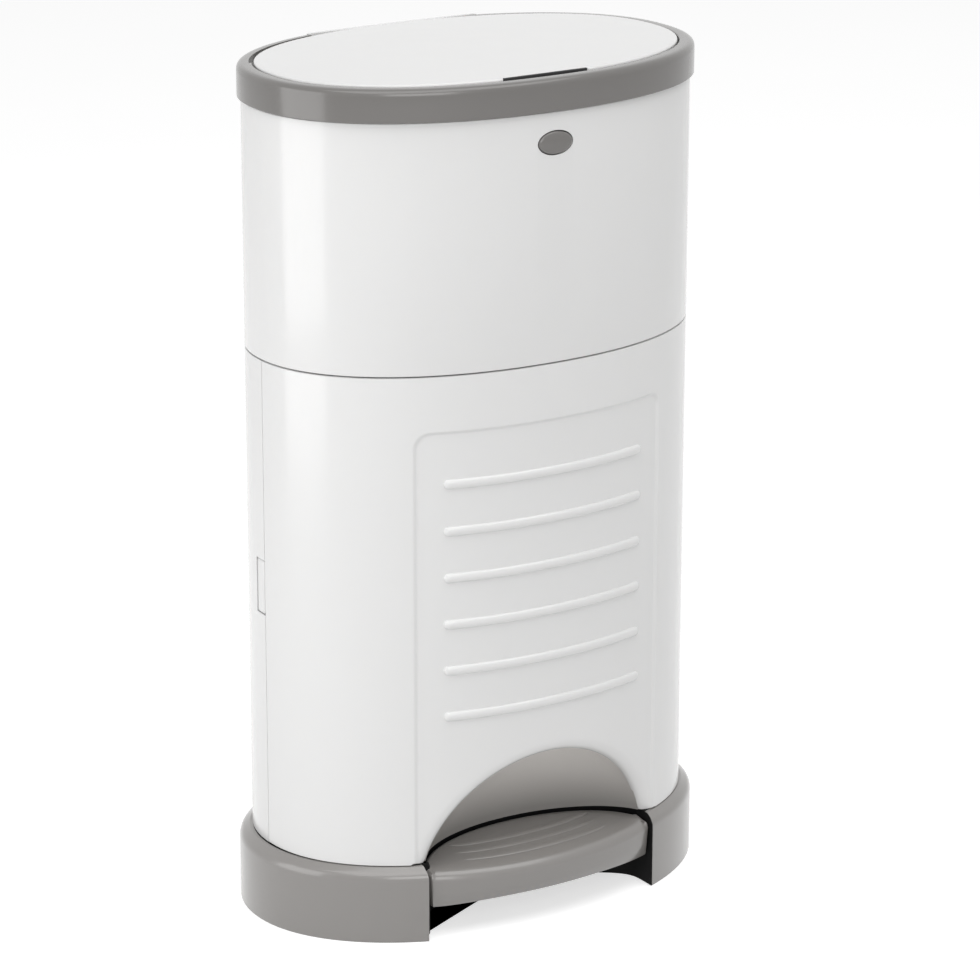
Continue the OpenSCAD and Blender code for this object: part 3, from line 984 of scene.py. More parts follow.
def coil(name: str, start: Triple, axis: str, length: float, radius: float, wire: float,
         turns: float) -> bpy.types.Object:
    """Wind a helical steel spring with a node tree.

    Args:
        name: name of the new piece.
        start: middle of its first end in millimetres.
        axis: X or Y, the way it runs.
        length: its length in millimetres.
        radius: radius at the middle of the wire.
        wire: radius of the wire.
        turns: number of turns.

    Returns:
        The spring.
    """
    tree = Repeat(name, STEEL)
    spiral = tree.add("GeometryNodeCurveSpiral", {"Resolution": 24})
    tree.link(tree.size("Turns", turns), spiral.inputs["Rotations"])
    wide = tree.size("Radius", radius * MM)
    tree.link(wide, spiral.inputs["Start Radius"])
    tree.link(wide, spiral.inputs["End Radius"])
    tree.link(tree.size("Length", length * MM), spiral.inputs["Height"])
    ring = tree.add("GeometryNodeCurvePrimitiveCircle", {"Resolution": 10})
    tree.link(tree.size("Wire", wire * MM), ring.inputs["Radius"])
    tube = tree.add("GeometryNodeCurveToMesh", {
        "Curve": spiral.outputs["Curve"], "Profile Curve": ring.outputs["Curve"],
        "Fill Caps": True})
    turn = {"X": (0.0, math.pi / 2, 0.0), "Y": (-math.pi / 2, 0.0, 0.0)}[axis]
    move = tree.add("GeometryNodeTransform", {
        "Rotation": turn, "Translation": metres([start])[0],
        "Geometry": tube.outputs["Mesh"]})
    return tree.make(move.outputs["Geometry"])


# ---------------------------------------------------------------- shared outlines


def half_size(node: str) -> Pair:
    """Return a node's half width and half depth in millimetres, from the frame."""
    low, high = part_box(node)
    return (high.x - low.x) / 2 / MM, max(high.y, -low.y) / MM


def height(node: str) -> Pair:
    """Return a node's lowest and highest point in millimetres, from the frame."""
    low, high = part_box(node)
    return low.z / MM, high.z / MM


BODY = Oval(*half_size("upper_shell"), 2.15)
BASE = Oval(*half_size("base"), 2.07)
RIM = Oval(*half_size("rim_ring"), 2.2)
LID = Oval(half_size("lid")[0], 85.6, 2.2)
WALL = 2.5
PART_Z = height("upper_shell")[0]
BASE_TOP = height("base")[1]
RIM_Z, RIM_TOP = height("rim_ring")


def pivot(joint: str) -> Vector:
    """Return a hinge's point in millimetres, from the frame."""
    found = next(j for j in frame["joints"] if j["name"] == joint)
    return Vector(found["pos_m"]) / MM


HINGE = pivot("lid_hinge")
DOOR_PIVOT = pivot("door_swing")
DOOR_LOW = BASE_TOP + 0.5
DOOR_TOP = PART_Z - 0.9

# Millimetres: the toe arch's centre and the scoop behind it, half widths of the base's
# notch, the hinge cover and the room for that cover, and places beyond the bin at which
# cutting shapes end.
ARCH_Z = 22.5
SCOOP_Y = -88.0
SCOOP_DEPTH = 49.0
SCOOP_R = 83.0
NOTCH_X = 79.0
TAB_X = 58.0
TAB_ROOM = TAB_X + 0.7
BEHIND = 120.0
ABOVE = 530.0


# ---------------------------------------------------------------- casing


@dataclass
class Foot:
    """Grey base with its deck, the dark well of the pedal and the toe niche, with painted shade in
    the deck's and well's black and painted light and shade on the niche.

    Args:
        wall: thickness of the base's wall.
        shoulder_z: height at which the shoulder starts to turn in.
        ledge: distance of the shoulder's inner edge from the outside of the base.
        notch: where the base's wall ends beside the pedal, left and right.
        lining: inner faces of the well's dark wall, left and right.
        well_front: how far behind the face of the base the dark wall starts.
        well_gap: distance of the dark wall from the niche's inner surface.
        niche_wall: thickness of the niche's wall.
    """

    wall: float = 3.2
    shoulder_z: float = 37.0
    ledge: float = 6.6
    notch: Pair = (-80.4, 78.3)
    lining: Pair = (-78.2, 77.8)
    well_front: float = 0.6
    well_gap: float = 2.6
    niche_wall: float = 2.2

    def skirt(self) -> bpy.types.Object:
        """Build the base's wall with its rounded shoulder, open at the pedal.

        Returns:
            The wall, which with the deck replaces the base.
        """
        left, right = self.notch
        start = BASE.param_at(right - 3, True)
        end = TAU + BASE.param_at(left + 3, True)
        path = walk(BASE, start, end, 240)
        top, inner = BASE_TOP - 0.1, -self.ledge - 3
        section = rounded([
            (0, 0, 1.2), (0.0, self.shoulder_z + 5.0, 9.0), (-self.ledge + 0.6, top, 1.2),
            (inner, top, 0.3), (inner, BASE_TOP - 3, 0.3),
            (-self.wall - 1.4, self.shoulder_z, 2.0), (-self.wall, 0, 0.8)], 7)
        skirt = sweep("base_skirt", path, lambda i: section)
        return cut(skirt, block("opening", (left, -BEHIND, -1), (right, -60, 60)))

    def deck(self) -> bpy.types.Object:
        """Build the floor of the bag space, cut out round the niche and the push rod.

        Returns:
            The deck, thin at the niche so that the pedal's gap stays dark; its deep black is
            painted shade for the gaps above it.
        """
        edge = BASE.grown(-self.ledge - 1.5)
        half = NOTCH_X - 1
        start, end = edge.param_at(half, True), TAU + edge.param_at(-half, True)
        plan = [place.at for place in walk(edge, start, end, 120)]
        plan += [scoop_point(x, self.niche_wall) for x in spread(-half, half, 40)]
        deck = slab("base_deck", plan, BASE_TOP - 1.4, BASE_TOP)
        return cut(deck, block("slot", (-16, 44, 30), (16, 89, 60)))

    def well(self) -> bpy.types.Object:
        """Build the dark wall round the space that the pedal moves in, whose dull deep black is
        partly painted shade for the pedal's gaps.

        Returns:
            The wall, open for the lever, which replaces the foot well.
        """
        left, right = self.lining
        line = [scoop_point(x, self.well_gap) for x in spread(right, left, 90)]
        for x, end in ((right, 0), (left, len(line))):
            front = self.well_front - BASE.depth_at(x)
            back = scoop_point(x, self.well_gap)[1] - 0.8
            side = [(x, y) for y in spread(front, back, 8)]
            line[end:end] = side if end == 0 else side[::-1]
        for _ in range(12):
            middle = [((a[0] + 2 * b[0] + c[0]) / 4, (a[1] + 2 * b[1] + c[1]) / 4)
                      for a, b, c in zip(line, line[1:], line[2:])]
            line = [line[0], *middle, line[-1]]
        path = trail(line)
        round_r, bend_z, foot = 9.0, self.shoulder_z + 0.7, 0.4

        def section(i: int) -> Profile:
            """Let the wall's top follow the shoulder of the base, just below it.

            Args:
                i: number of the place on the wall's path.

            Returns:
                The section there.
            """
            x, y = path[i].at
            inside = max(0.0, BASE.depth_at(x) + y)
            arc = bend_z + math.sqrt(round_r ** 2 - max(0.0, round_r - inside) ** 2)
            slope = 44.7 + 0.82 * (inside - 3.3)
            top = min(arc, slope, BASE_TOP - 0.1) - 0.4
            thick = 1.6 - 0.7 * x / right
            return [(0, foot), (0, top - 0.2), (0.2, top), (0.5, top), (thick, top - 3),
                    (thick, foot)]

        wall = sweep("foot_well", path, section)
        half_turn = walk(Oval(NOTCH_X + 1.8, 51.8, 4.0), 0.01, math.pi - 0.01, 60)
        plate = [(x, y + SCOOP_Y) for x, y in (place.at for place in half_turn)]
        plate += [(x * 1.004, y + 0.4) for x, y in reversed(line) if y > plate[0][1]]
        flange = slab("well_flange", plate, foot, 1.8)
        wall = join("foot_well", [wall, flange])
        return cut(wall, block("lever_room", (-34, -60, 14), (34, -20, 40)))

    def niche(self) -> bpy.types.Object:
        """Build the scoop over the pedal as a curved wall.

        Returns:
            The niche, which replaces its node.
        """
        clip = BODY.grown(-WALL - 4.2)
        rows, cols = 60, 90
        inner, outer = ([self.scoop((c / (cols - 1) - 0.5) * 2, r / (rows - 1), grow, clip)
                         for c in range(cols) for r in range(rows)]
                        for grow in (0.0, self.niche_wall))
        count = len(inner)
        faces = grid_faces(cols, rows)
        faces += [[count + i for i in reversed(f)] for f in grid_faces(cols, rows)]
        for line in (range(0, count, rows), range(rows - 1, count, rows), range(rows),
                     range(count - rows, count)):
            faces += [[a, b, count + b, count + a] for a, b in zip(line, line[1:])]
        return piece_from("toe_scoop", inner + outer, faces, 50)

    def scoop(self, turn: float, depth: float, grow: float, clip: Oval) -> Triple:
        """Return a point of the scoop.

        Args:
            turn: place across the scoop, from -1 at the left foot to 1 at the right foot.
            depth: place from the front edge, 0, to the back, 1.
            grow: distance from the scoop's inner surface.
            clip: outline that the front edge follows.

        Returns:
            The point in millimetres.
        """
        floor = BASE_TOP + 0.2 - ARCH_Z
        back = math.sqrt(1 - (floor / SCOOP_R) ** 2) * SCOOP_DEPTH
        low, high = -8.0, back - 0.01
        for _ in range(40):
            middle = (low + high) / 2
            x, _ = self.ring(turn, middle, grow, floor)
            if SCOOP_Y + middle > -clip.depth_at(x):
                high = middle
            else:
                low = middle
        y = high + (back - high) * depth ** 0.8
        x, z = self.ring(turn, y, grow, floor)
        return x, SCOOP_Y + y + grow * 0.5 * depth, ARCH_Z + z

    def ring(self, turn: float, y: float, grow: float, floor: float) -> Pair:
        """Return x and height above the arch's centre on the scoop's ring at depth y.

        Args:
            turn: place across the scoop, from -1 to 1.
            y: depth of the ring behind the front.
            grow: distance from the scoop's inner surface.
            floor: height of the ring's feet.

        Returns:
            The two lengths.
        """
        share = max(0.0, 1 - (max(0.0, y) / SCOOP_DEPTH) ** 2)
        radius = max(floor + 1e-4, SCOOP_R * math.sqrt(share)) + grow
        lift = math.asin(min(1.0, floor / radius))
        angle = math.pi / 2 - turn * (math.pi / 2 - lift)
        return radius * math.cos(angle), radius * math.sin(angle)

    def build(self) -> None:
        """Make every piece of the foot and dress it."""
        # The deck's and well's deep black is partly painted shade for the pedal's gaps, and the
        # niche's finish is painted light, lighter at the top.
        for piece, finish, slot, node in (
                (self.skirt(), GREY, Slot.GREY_SHELL, "base"),
                (self.deck(), SHADE_BLACK, Slot.GREY_SHELL, "base"),
                (self.well(), SHADE_BLACK, Slot.DARK_PART, "foot_well"),
                (self.niche(), NICHE_PAINTED_LIGHT, Slot.GREY_SHELL, "toe_niche")):
            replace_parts(dress(piece, finish, slot, Body.CASING), node)


def trail(line: Sequence[Pair]) -> list[Station]:
    """Return the stations of an open line, with the side on its right as the outside.

    Args:
        line: points of the line.

    Returns:
        One station for each point.
    """
    found = []
    for i, at in enumerate(line):
        (x0, y0), (x1, y1) = line[max(0, i - 1)], line[min(len(line) - 1, i + 1)]
        size = math.hypot(x1 - x0, y1 - y0)
        found.append(Station(at, ((y1 - y0) / size, (x0 - x1) / size)))
    return found


def scoop_point(x: float, grow: float) -> Pair:
    """Return the niche's plan outline at x, grown outwards."""
    share = max(0.0, 1 - (x / (SCOOP_R + grow)) ** 2)
    return x, SCOOP_Y + (SCOOP_DEPTH + grow) * math.sqrt(share)


def slab(name: str, plan: Sequence[Pair], low: float, high: float) -> bpy.types.Object:
    """Extrude a plan outline between two heights."""
    return rings(name, [[(x, y, z) for x, y in plan] for z in (low, high)])


@dataclass
class Casing:
    """White shells of the body, the grey rim and the funnel below the lid.

    Args:
        lock_z: height of the lock button's middle.
        lock_size: width and height of the opening round the lock button.
        latch: lowest and highest point of the latch's window.
        seam: half of the gap between the door and the rear shell.
        seat_z: height of the rim's seat inside the upper shell.
        lid_room: how far the rim gives way behind the lid.
        sweep_r: radius of the room that the hinge cover turns in.
        mouth: half width and half depth of the funnel's inside at its top.
        throat: half width and half depth of the funnel's inside at its bottom.
        cone: thickness of the funnel's wall.
    """

    lock_z: float = 474.7
    lock_size: Pair = (23.7, 14.4)
    latch: Pair = (189.5, 223.5)
    seam: float = 0.3
    seat_z: float = 505.0
    lid_room: float = 2.6
    sweep_r: float = 10.6
    mouth: Pair = (112.0, 63.5)
    throat: Pair = (74.0, 44.5)
    cone: float = 1.8

    def upper(self) -> bpy.types.Object:
        """Build the upper shell with the opening for the lock button.

        Returns:
            The shell.
        """
        top, step = RIM_Z - 0.6, 2.2
        flange, shelf = -7, PART_Z + 3
        section = rounded([(0, PART_Z, 0.6), (0, top, 0.5), (-step, top, 0),
                           (-step, self.seat_z, 0.2), (-2 * step, self.seat_z, 0.2),
                           (-2 * step, top - 4, 0), (-WALL, top - 5, 0), (-WALL, shelf, 0),
                           (flange, shelf, 0), (flange, PART_Z, 0.3)], 3)
        path = walk(BODY, 0, TAU, 289)[:-1]
        shell = sweep("upper_body", path, lambda i: section, closed=True)
        cut(shell, oval_plug("opening", self.lock_size, self.lock_z, -110, -60))
        return cut(shell, block("notch", (-TAB_ROOM, 76, RIM_Z - 0.4), (TAB_ROOM, BEHIND, ABOVE)))

    def rear(self) -> bpy.types.Object:
        """Build the rear half of the lower body with the window for the latch.

        Returns:
            The shell.
        """
        low, high = height("rear_shell")
        start = math.asin((self.seam / BODY.b) ** (BODY.n / 2))
        edge = 0.5
        section = rounded([(0, low, edge), (0, high, edge), (-WALL, high, edge),
                           (-WALL, low, edge)], 3)
        shell = sweep("rear_body", walk(BODY, start, math.pi - start, 150), lambda i: section)
        cut(shell, block("window", (-150, -1, self.latch[0]), (-130, 11, self.latch[1])))
        barrel = rod("barrel_room", (*DOOR_PIVOT.xy, 0), (*DOOR_PIVOT.xy, 400), 3.9, sides=32)
        return cut(shell, barrel)

    def rim(self) -> bpy.types.Object:
        """Build the grey ring round the lid, low at the back under the hinge cover.

        Returns:
            The ring.
        """
        edge = RIM.param_at(TAB_ROOM, False)
        lip = RIM.a - LID.grown(0.8).a
        seat, under, wall = RIM_TOP - 4.6, RIM_TOP - 6.8, 3.2
        full = rounded([(0, RIM_Z, 0.5), (0, RIM_TOP, 4.2), (-lip, RIM_TOP, 1.0),
                        (-lip, seat, 0.3), (-lip - 1.6, seat, 0.2), (-lip - 1.6, under, 0.2),
                        (-wall, under, 0.4), (-wall, RIM_Z, 0.3)], 6)
        low = [(max(off, -wall), min(z, RIM_Z + 4.0)) for off, z in full]
        front = sweep("rim_front", walk(RIM, math.pi - edge, TAU + edge, 260), lambda i: full)
        room = [(x, y + self.lid_room) for x, y in self.relief_plan()]
        cut(front, slab("relief", room, RIM_TOP - 3.8, ABOVE))
        back = sweep("rim_back", walk(RIM, edge, math.pi - edge, 40), lambda i: low)
        ends = [(x, HINGE.y, HINGE.z) for x in (-TAB_ROOM, TAB_ROOM)]
        cut(back, rod("sweep", *ends, self.sweep_r))
        return join("rim", [front, back])

    def relief_plan(self) -> list[Pair]:
        """Return the plan of the room that the lid's back edge swings through.

        Returns:
            Points of the plan.
        """
        swing = Oval(LID.a + 1.6, LID.b + 1.2, LID.n)
        start = math.asin((30 / swing.b) ** (swing.n / 2))
        return [swing.point(t) for t in spread(start, math.pi - start, 80)]

    def funnel(self) -> bpy.types.Object:
        """Build the funnel from the rim down to the trap flaps.

        Returns:
            The funnel.
        """
        low, high = height("funnel")
        levels, sides = 14, 160
        loops = []
        for off, steps in ((self.cone, range(levels)), (0.0, reversed(range(levels)))):
            for k in (step / (levels - 1) for step in steps):
                swell = ease(k) * 0.35 + k * 0.65
                a, b = (least + (most - least) * swell + off
                        for least, most in zip(self.throat, self.mouth))
                shape = Oval(a, b, 7 - 4.6 * min(1.0, k * 1.6))
                z = low + (high - 0.2 - low) * k
                loops.append([(*superpoint(shape, TAU * i / sides), z) for i in range(sides)])
        cone = rings("funnel_cone", loops, SOFT, closed=True)
        base, inner = high - 2.5, -28.5
        section = rounded([(-4.4, base, 0.3), (-4.4, high, 0.3), (inner, high, 0.8),
                           (inner, base, 0.3)], 3)
        flange = sweep("funnel_flange", walk(BODY, 0, TAU, 200)[:-1], lambda i: section,
                       closed=True)
        for name, corner, far in (("back", (-TAB_ROOM, 72), (TAB_ROOM, BEHIND)),
                                  ("crank", (-16, 66), (10, 90)), ("hook", (-9, -100), (9, -73))):
            cut(flange, block(name, (*corner, 480), (*far, ABOVE)))
        return join("funnel_body", [cone, flange])

    def build(self) -> None:
        """Make every piece of the casing and dress it."""
        for piece, finish, slot, node in (
                (self.upper(), WHITE, Slot.WHITE_SHELL, "upper_shell"),
                (self.rear(), WHITE, Slot.WHITE_SHELL, "rear_shell"),
                (self.rim(), GREY_RIM, Slot.GREY_SHELL, "rim_ring"),
                (self.funnel(), WHITE_INSIDE, Slot.WHITE_INNER, "funnel")):
            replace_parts(dress(piece, finish, slot, Body.CASING), node)


def superpoint(oval: Oval, angle: float) -> Pair:
    """Return the outline's point in the direction of an angle from the middle.

    Args:
        oval: the outline.
        angle: direction, counted from +X towards +Y.

    Returns:
        The point.
    """
    c, s = abs(math.cos(angle)), abs(math.sin(angle))
    reach = ((c / oval.a) ** oval.n + (s / oval.b) ** oval.n) ** (-1 / oval.n)
    return reach * math.cos(angle), reach * math.sin(angle)


def oval_plug(name: str, size: Pair, z: float, y0: float, y1: float) -> bpy.types.Object:
    """Make an elliptic solid along Y, centred at x = 0 and height z."""
    flat = ellipse((size[0] / 2, size[1] / 2), 64)
    return rings(name, [[(x, y, z + up) for x, up in flat] for y in (y0, y1)])


def rod(name: str, start: Sequence[float], end: Sequence[float], radius: float,
        sides: int = 48, edge: float = 0.3) -> bpy.types.Object:
    """Make a round bar with slightly rounded ends.

    Args:
        name: name of the new object.
        start: middle of one end in millimetres.
        end: middle of the other end.
        radius: its radius.
        sides: number of flats round it.
        edge: size of the rounding at the ends.

    Returns:
        The bar.
    """
    a, b = Vector(start), Vector(end)
    along = (b - a).normalized()
    side = along.orthogonal().normalized()
    up = along.cross(side)
    length, bend = (b - a).length, edge * 0.3
    ends = [(0, radius - edge), (bend, radius - bend), (edge, radius),
            (length - edge, radius), (length - bend, radius - bend), (length, radius - edge)]
    loops = [[a + along * d + (side * c + up * s) * r for c, s in ellipse((1, 1), sides)]
             for d, r in ends]
    return rings(name, loops, SOFT)


# ---------------------------------------------------------------- door


@dataclass
class Door:
    """Front half of the lower body, which swings open on its right edge.

    Args:
        panel_x: half width of the sunk panel.
        panel_top: height of the panel's upper edge.
        panel_r: radius of its upper corners.
        panel_depth: depth of the panel.
        arch_r: radius of the toe arch.
        arch_clear: height above which no row of the wall follows the arch.
        lip: how far the wall rolls in round the toe arch.
        lip_depth: depth of the roll.
        rib_z: height of the lowest rib.
        rib_pitch: spacing of the ribs.
        ribs: number of ribs.
        rib_x: half width of a rib.
        rib_h: height of a rib.
        rib_rise: how far a rib stands out of the panel.
    """

    panel_x: float = 84.0
    panel_top: float = 311.5
    panel_r: float = 9.0
    panel_depth: float = 1.3
    arch_r: float = 82.3
    arch_clear: float = 122.0
    lip: float = 8.0
    lip_depth: float = 6.0
    rib_z: float = 138.5
    rib_pitch: float = 28.4
    ribs: int = 6
    rib_x: float = 65.5
    rib_h: float = 5.8
    rib_rise: float = 2.0

    def bottom(self, x: float) -> float:
        """Return the height of the wall's lower edge at x, before the lip.

        Args:
            x: place across the door.

        Returns:
            The height.
        """
        reach = self.arch_r + self.lip
        if abs(x) >= reach:
            return DOOR_LOW
        return max(DOOR_LOW, ARCH_Z + math.sqrt(reach ** 2 - x ** 2))

    def relief(self, x: float, z: float) -> float:
        """Return the wall's offset at a point of the front, below 0 in the panel.

        Args:
            x: place across the door.
            z: height.

        Returns:
            The offset.
        """
        r = self.panel_r
        dx = abs(x) - (self.panel_x - r)
        dz = z - (self.panel_top - r)
        outside = math.hypot(max(dx, 0), max(dz, 0)) + min(max(dx, dz), 0) - r
        return -self.panel_depth * ease(0.5 - outside / 2.4)

    def front(self, x: float, z: float, off: float) -> Triple:
        """Return the point at x and z on the front, moved out by off."""
        at = (x, -BODY.depth_at(x))
        return Station(at, BODY.normal(at)).lay(off, z)

    def columns(self) -> list[float]:
        """Return the parameters of the wall's columns, closer where the panel ends.

        Returns:
            Parameters on the body's outline.
        """
        start = math.pi + math.asin((0.1 / BODY.b) ** (BODY.n / 2))
        end = TAU - math.asin((-DOOR_PIVOT.y / BODY.b) ** (BODY.n / 2))
        params = even_params(BODY, start, end, 240)
        corner = math.sqrt((self.arch_r + self.lip) ** 2 - (DOOR_LOW - ARCH_Z) ** 2)
        extra = [self.panel_x + d for d in spread(-1.6, 1.6, 9)]
        extra += [corner, corner - 0.4, corner + 0.2]
        params += [BODY.param_at(s * x, True) for x in extra for s in (-1, 1)]
        return sorted(params)

    def rows(self) -> list[float]:
        """Return the heights of the wall's rows above the arch.

        Returns:
            Heights in millimetres.
        """
        edge = self.panel_top
        rows = spread(self.arch_clear, edge - 15.5, 30) + spread(edge - 12.5, edge - 2.5, 11)
        rows += spread(edge - 1.9, edge + 1.9, 12) + spread(edge + 4.5, DOOR_TOP - 1.5, 6)
        return rows + [DOOR_TOP - 0.5, DOOR_TOP - 0.15]

    def wall(self) -> bpy.types.Object:
        """Build the door's wall with its panel, toe arch and rolled lip.

        Returns:
            The wall.
        """
        rows = self.rows()
        low_rows = 22
        loops = []
        for place in stations(BODY, self.columns()):
            x = place.at[0]
            base = self.bottom(x)
            low = [base + (rows[0] - base) * (k / low_rows) ** 1.3 for k in range(low_rows)]
            line = [(self.relief(x, z), z) for z in low + rows]
            line += [(-0.5, DOOR_TOP), (-WALL, DOOR_TOP)]
            line += [(-WALL, z) for z in reversed(rows)]
            loops.append([place.lay(off, z) for off, z in line] + self.edge(place, base))
        return rings("door_wall", loops, 30)

    def edge(self, place: Station, base: float) -> list[Triple]:
        """Return the points of a column's lower edge, from the inner wall to the outer one.

        Args:
            place: the column's place on the outline.
            base: height of the wall's lower edge, on the toe arch if above the base.

        Returns:
            Points in millimetres.
        """
        steps = 12
        if base <= DOOR_LOW + 0.01:
            line = [(-WALL, base + 0.6), (-WALL, base + 0.3), (-WALL, base + 0.1)]
            line += [(-WALL + (WALL - 0.4) * k / steps, base) for k in range(steps)]
            line += [(-0.1, base + 0.1)]
            return [place.lay(off, z) for off, z in line]
        angle = math.atan2(base - ARCH_Z, place.at[0])
        back = -self.lip_depth - 0.4
        line = [(self.lip + 1.5, -WALL), (4.5, -WALL - 0.6), (2.2, back), (0.0, back)]
        for k in range(steps):
            turn = math.pi / 2 * (1 - k / steps)
            line.append((self.lip * (1 - math.sin(turn)),
                         -self.lip_depth * (1 - math.cos(turn))))
        points = []
        for grow, off in line:
            reach = self.arch_r + grow
            x = reach * math.cos(angle)
            z = max(BASE_TOP + 0.3, ARCH_Z + reach * math.sin(angle))
            points.append(self.front(x, z, off + self.relief(x, z)))
        return points

    def rib(self) -> bpy.types.Object:
        """Build the lowest rib, round at both ends.

        Returns:
            The rib.
        """
        half = self.rib_h / 2
        stops = [self.rib_x + half * math.sin(math.pi / 2 * k / 10) for k in range(11)]
        xs = [-x for x in reversed(stops)] + spread(-self.rib_x, self.rib_x, 60)[1:-1] + stops
        loops = []
        for x in xs:
            past = max(0.0, abs(x) - self.rib_x)
            share = max(0.02, math.sqrt(max(0.0, 1 - (past / half) ** 2)))
            loop = []
            for turn in (math.pi * k / 14 for k in range(15)):
                z = self.rib_z + half * share * math.cos(turn)
                rise = (self.rib_rise + 0.1) * share * math.sin(turn) ** 0.8
                loop.append(self.front(x, z, -self.panel_depth - 0.1 + rise))
            loop.append(self.front(x, self.rib_z, -self.panel_depth - 0.6))
            loops.append(loop)
        return rings("rib", loops, 60)

    def build(self) -> None:
        """Make every piece of the door and dress it."""
        barrel = rod("barrel", (*DOOR_PIVOT.xy, DOOR_LOW), (*DOOR_PIVOT.xy, DOOR_TOP), 3.5)
        wall = join("door_shell", [self.wall(), barrel])
        dress(wall, WHITE, Slot.WHITE_SHELL, Body.DOOR)
        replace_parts(wall, "door")
        ribs = row("door_ribs", WHITE, self.rib(), self.ribs, (0.0, 0.0, self.rib_pitch))
        dress(ribs, WHITE, Slot.WHITE_SHELL, Body.DOOR)


# ---------------------------------------------------------------- lid


@dataclass
class Lid:
    """Flush lid with its finger slot and the cover over its hinge.

    Args:
        under_z: height of the lid's underside.
        edge_z: height of the top at the lid's edge.
        crown: rise of the dome in the middle.
        slot_x: half width of the finger slot.
        slot_y: distance of the slot's straight edge from the middle.
        cover_r: radius of the hinge cover.
        sheet: thickness of the hinge cover.
        web_y: place where the cover meets the lid.
        knuckle_x: distance of the two knuckles from the middle.
        knuckle_r: radius of a knuckle.
        knuckle_half: half length of a knuckle.
    """

    under_z: float = 509.8
    edge_z: float = 512.9
    crown: float = 2.4
    slot_x: float = 29.0
    slot_y: float = 81.8
    cover_r: float = 9.8
    sheet: float = 2.5
    web_y: float = 83.5
    knuckle_x: float = 15.5
    knuckle_r: float = 5.0
    knuckle_half: float = 3.5

    def plan(self) -> list[Pair]:
        """Return the lid's outline with the straight edge of the finger slot.

        Returns:
            Points of the outline.
        """
        left = LID.param_at(-self.slot_x, True)
        right = LID.param_at(self.slot_x, True)
        around = [place.at for place in walk(LID, right, left + TAU, 300)]
        half, y = self.slot_x, -LID.depth_at(self.slot_x) + 0.5
        straight = [(x, -self.slot_y) for x in spread(-half + 1.2, half - 1.2, 24)]
        return [*around[1:-1], (-half, y), *straight, (half, y)]

    def plate(self) -> bpy.types.Object:
        """Build the domed plate with its skirt.

        Returns:
            The plate.
        """
        plan = self.plan()
        normals = outward(plan)
        low, top = self.under_z, self.edge_z

        def loop(share: float, inset: float) -> list[Pair]:
            """Return the outline drawn in by inset and then scaled by share."""
            return [((x - nx * inset) * share, (y - ny * inset) * share)
                    for (x, y), (nx, ny) in zip(plan, normals)]

        section = [(0.5, 0.0, low), (1.0, 2.4, low), (1.0, 2.3, low - 1.1), (1.0, 0.5, low - 1.2),
                   (1.0, 0.0, low - 0.6), (1.0, 0.0, top - 1.4), (1.0, 0.12, top - 0.7),
                   (1.0, 0.5, top - 0.22), (1.0, 1.1, top - 0.02)]
        loops = [[(x, y, z) for x, y in loop(share, inset)] for share, inset, z in section]
        for share in (0.99, 0.975, 0.94, 0.88, 0.8, 0.7, 0.58, 0.45, 0.3, 0.15, 0.05):
            loops.append([(x, y, self.dome(x, y)) for x, y in loop(share, 1.1)])
        return rings("plate", loops, SOFT)

    def dome(self, x: float, y: float) -> float:
        """Return the height of the lid's top at a place."""
        share = (abs(x) / LID.a) ** LID.n + (abs(y) / LID.b) ** LID.n
        return self.edge_z + self.crown * (1 - min(1.0, share) ** (2 / LID.n))

    def cover(self) -> bpy.types.Object:
        """Build the curved cover over the hinge.

        Returns:
            The cover.
        """
        loops = []
        end, sink = 2.0, 0.35
        for x in spread(-TAB_X, TAB_X, 80):
            tight = max(0.0, abs(x) - TAB_X + end) / end
            shrink = sink * (1 - math.sqrt(max(0.0, 1 - tight ** 2)))
            reach = min(self.cover_r, RIM.depth_at(x) - HINGE.y)
            rise = self.cover_r + 0.12 - shrink
            angles = spread(-0.3, math.pi / 2, 16)
            outer, inner = ([(HINGE.y + (reach - in_by) * math.cos(a),
                              HINGE.z + (rise - in_by) * math.sin(a)) for a in angles]
                            for in_by in (0.0, self.sheet))
            top = HINGE.z + rise
            loop = [*outer, (self.web_y, top), (self.web_y, top - self.sheet), *inner[::-1]]
            loops.append([(x, y, z) for y, z in loop])
        return rings("cover", loops, SOFT)

    def knuckles(self) -> list[bpy.types.Object]:
        """Build the two knuckles that turn on the hinge pin.

        Returns:
            The knuckles and their webs.
        """
        made = []
        for middle in (-self.knuckle_x, self.knuckle_x):
            x0, x1 = middle - self.knuckle_half, middle + self.knuckle_half
            made.append(rod("knuckle", (x0, HINGE.y, HINGE.z), (x1, HINGE.y, HINGE.z),
                            self.knuckle_r))
            made.append(block("web", (x0, self.web_y - 1, HINGE.z), (x1, 89, 511)))
        return made

    def build(self) -> None:
        """Make every piece of the lid and dress it."""
        lid = join("lid_shell", [self.plate(), self.cover(), *self.knuckles()])
        dress(lid, WHITE, Slot.WHITE_SHELL, Body.LID)
        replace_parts(lid, "lid")
        # A dark strip on the finger slot's straight edge: painted shade standing in for the shadow
        # inside the slot.
        front, back = -self.slot_y - 1.1, -self.slot_y + 0.3
        low, top = self.under_z + 0.1, self.edge_z - 0.25
        section = rounded([(front, low, 0.3), (front, top, 0.4), (back, top, 0.1),
                           (back, low, 0.1)], 3)
        grip = rings("lid_grip", [[(x, y, z) for y, z in section]
                                  for x in spread(-self.slot_x + 1.2, self.slot_x - 1.2, 20)])
        dress(grip, DARK, Slot.DARK_PART, Body.LID)


# ---------------------------------------------------------------- pedal


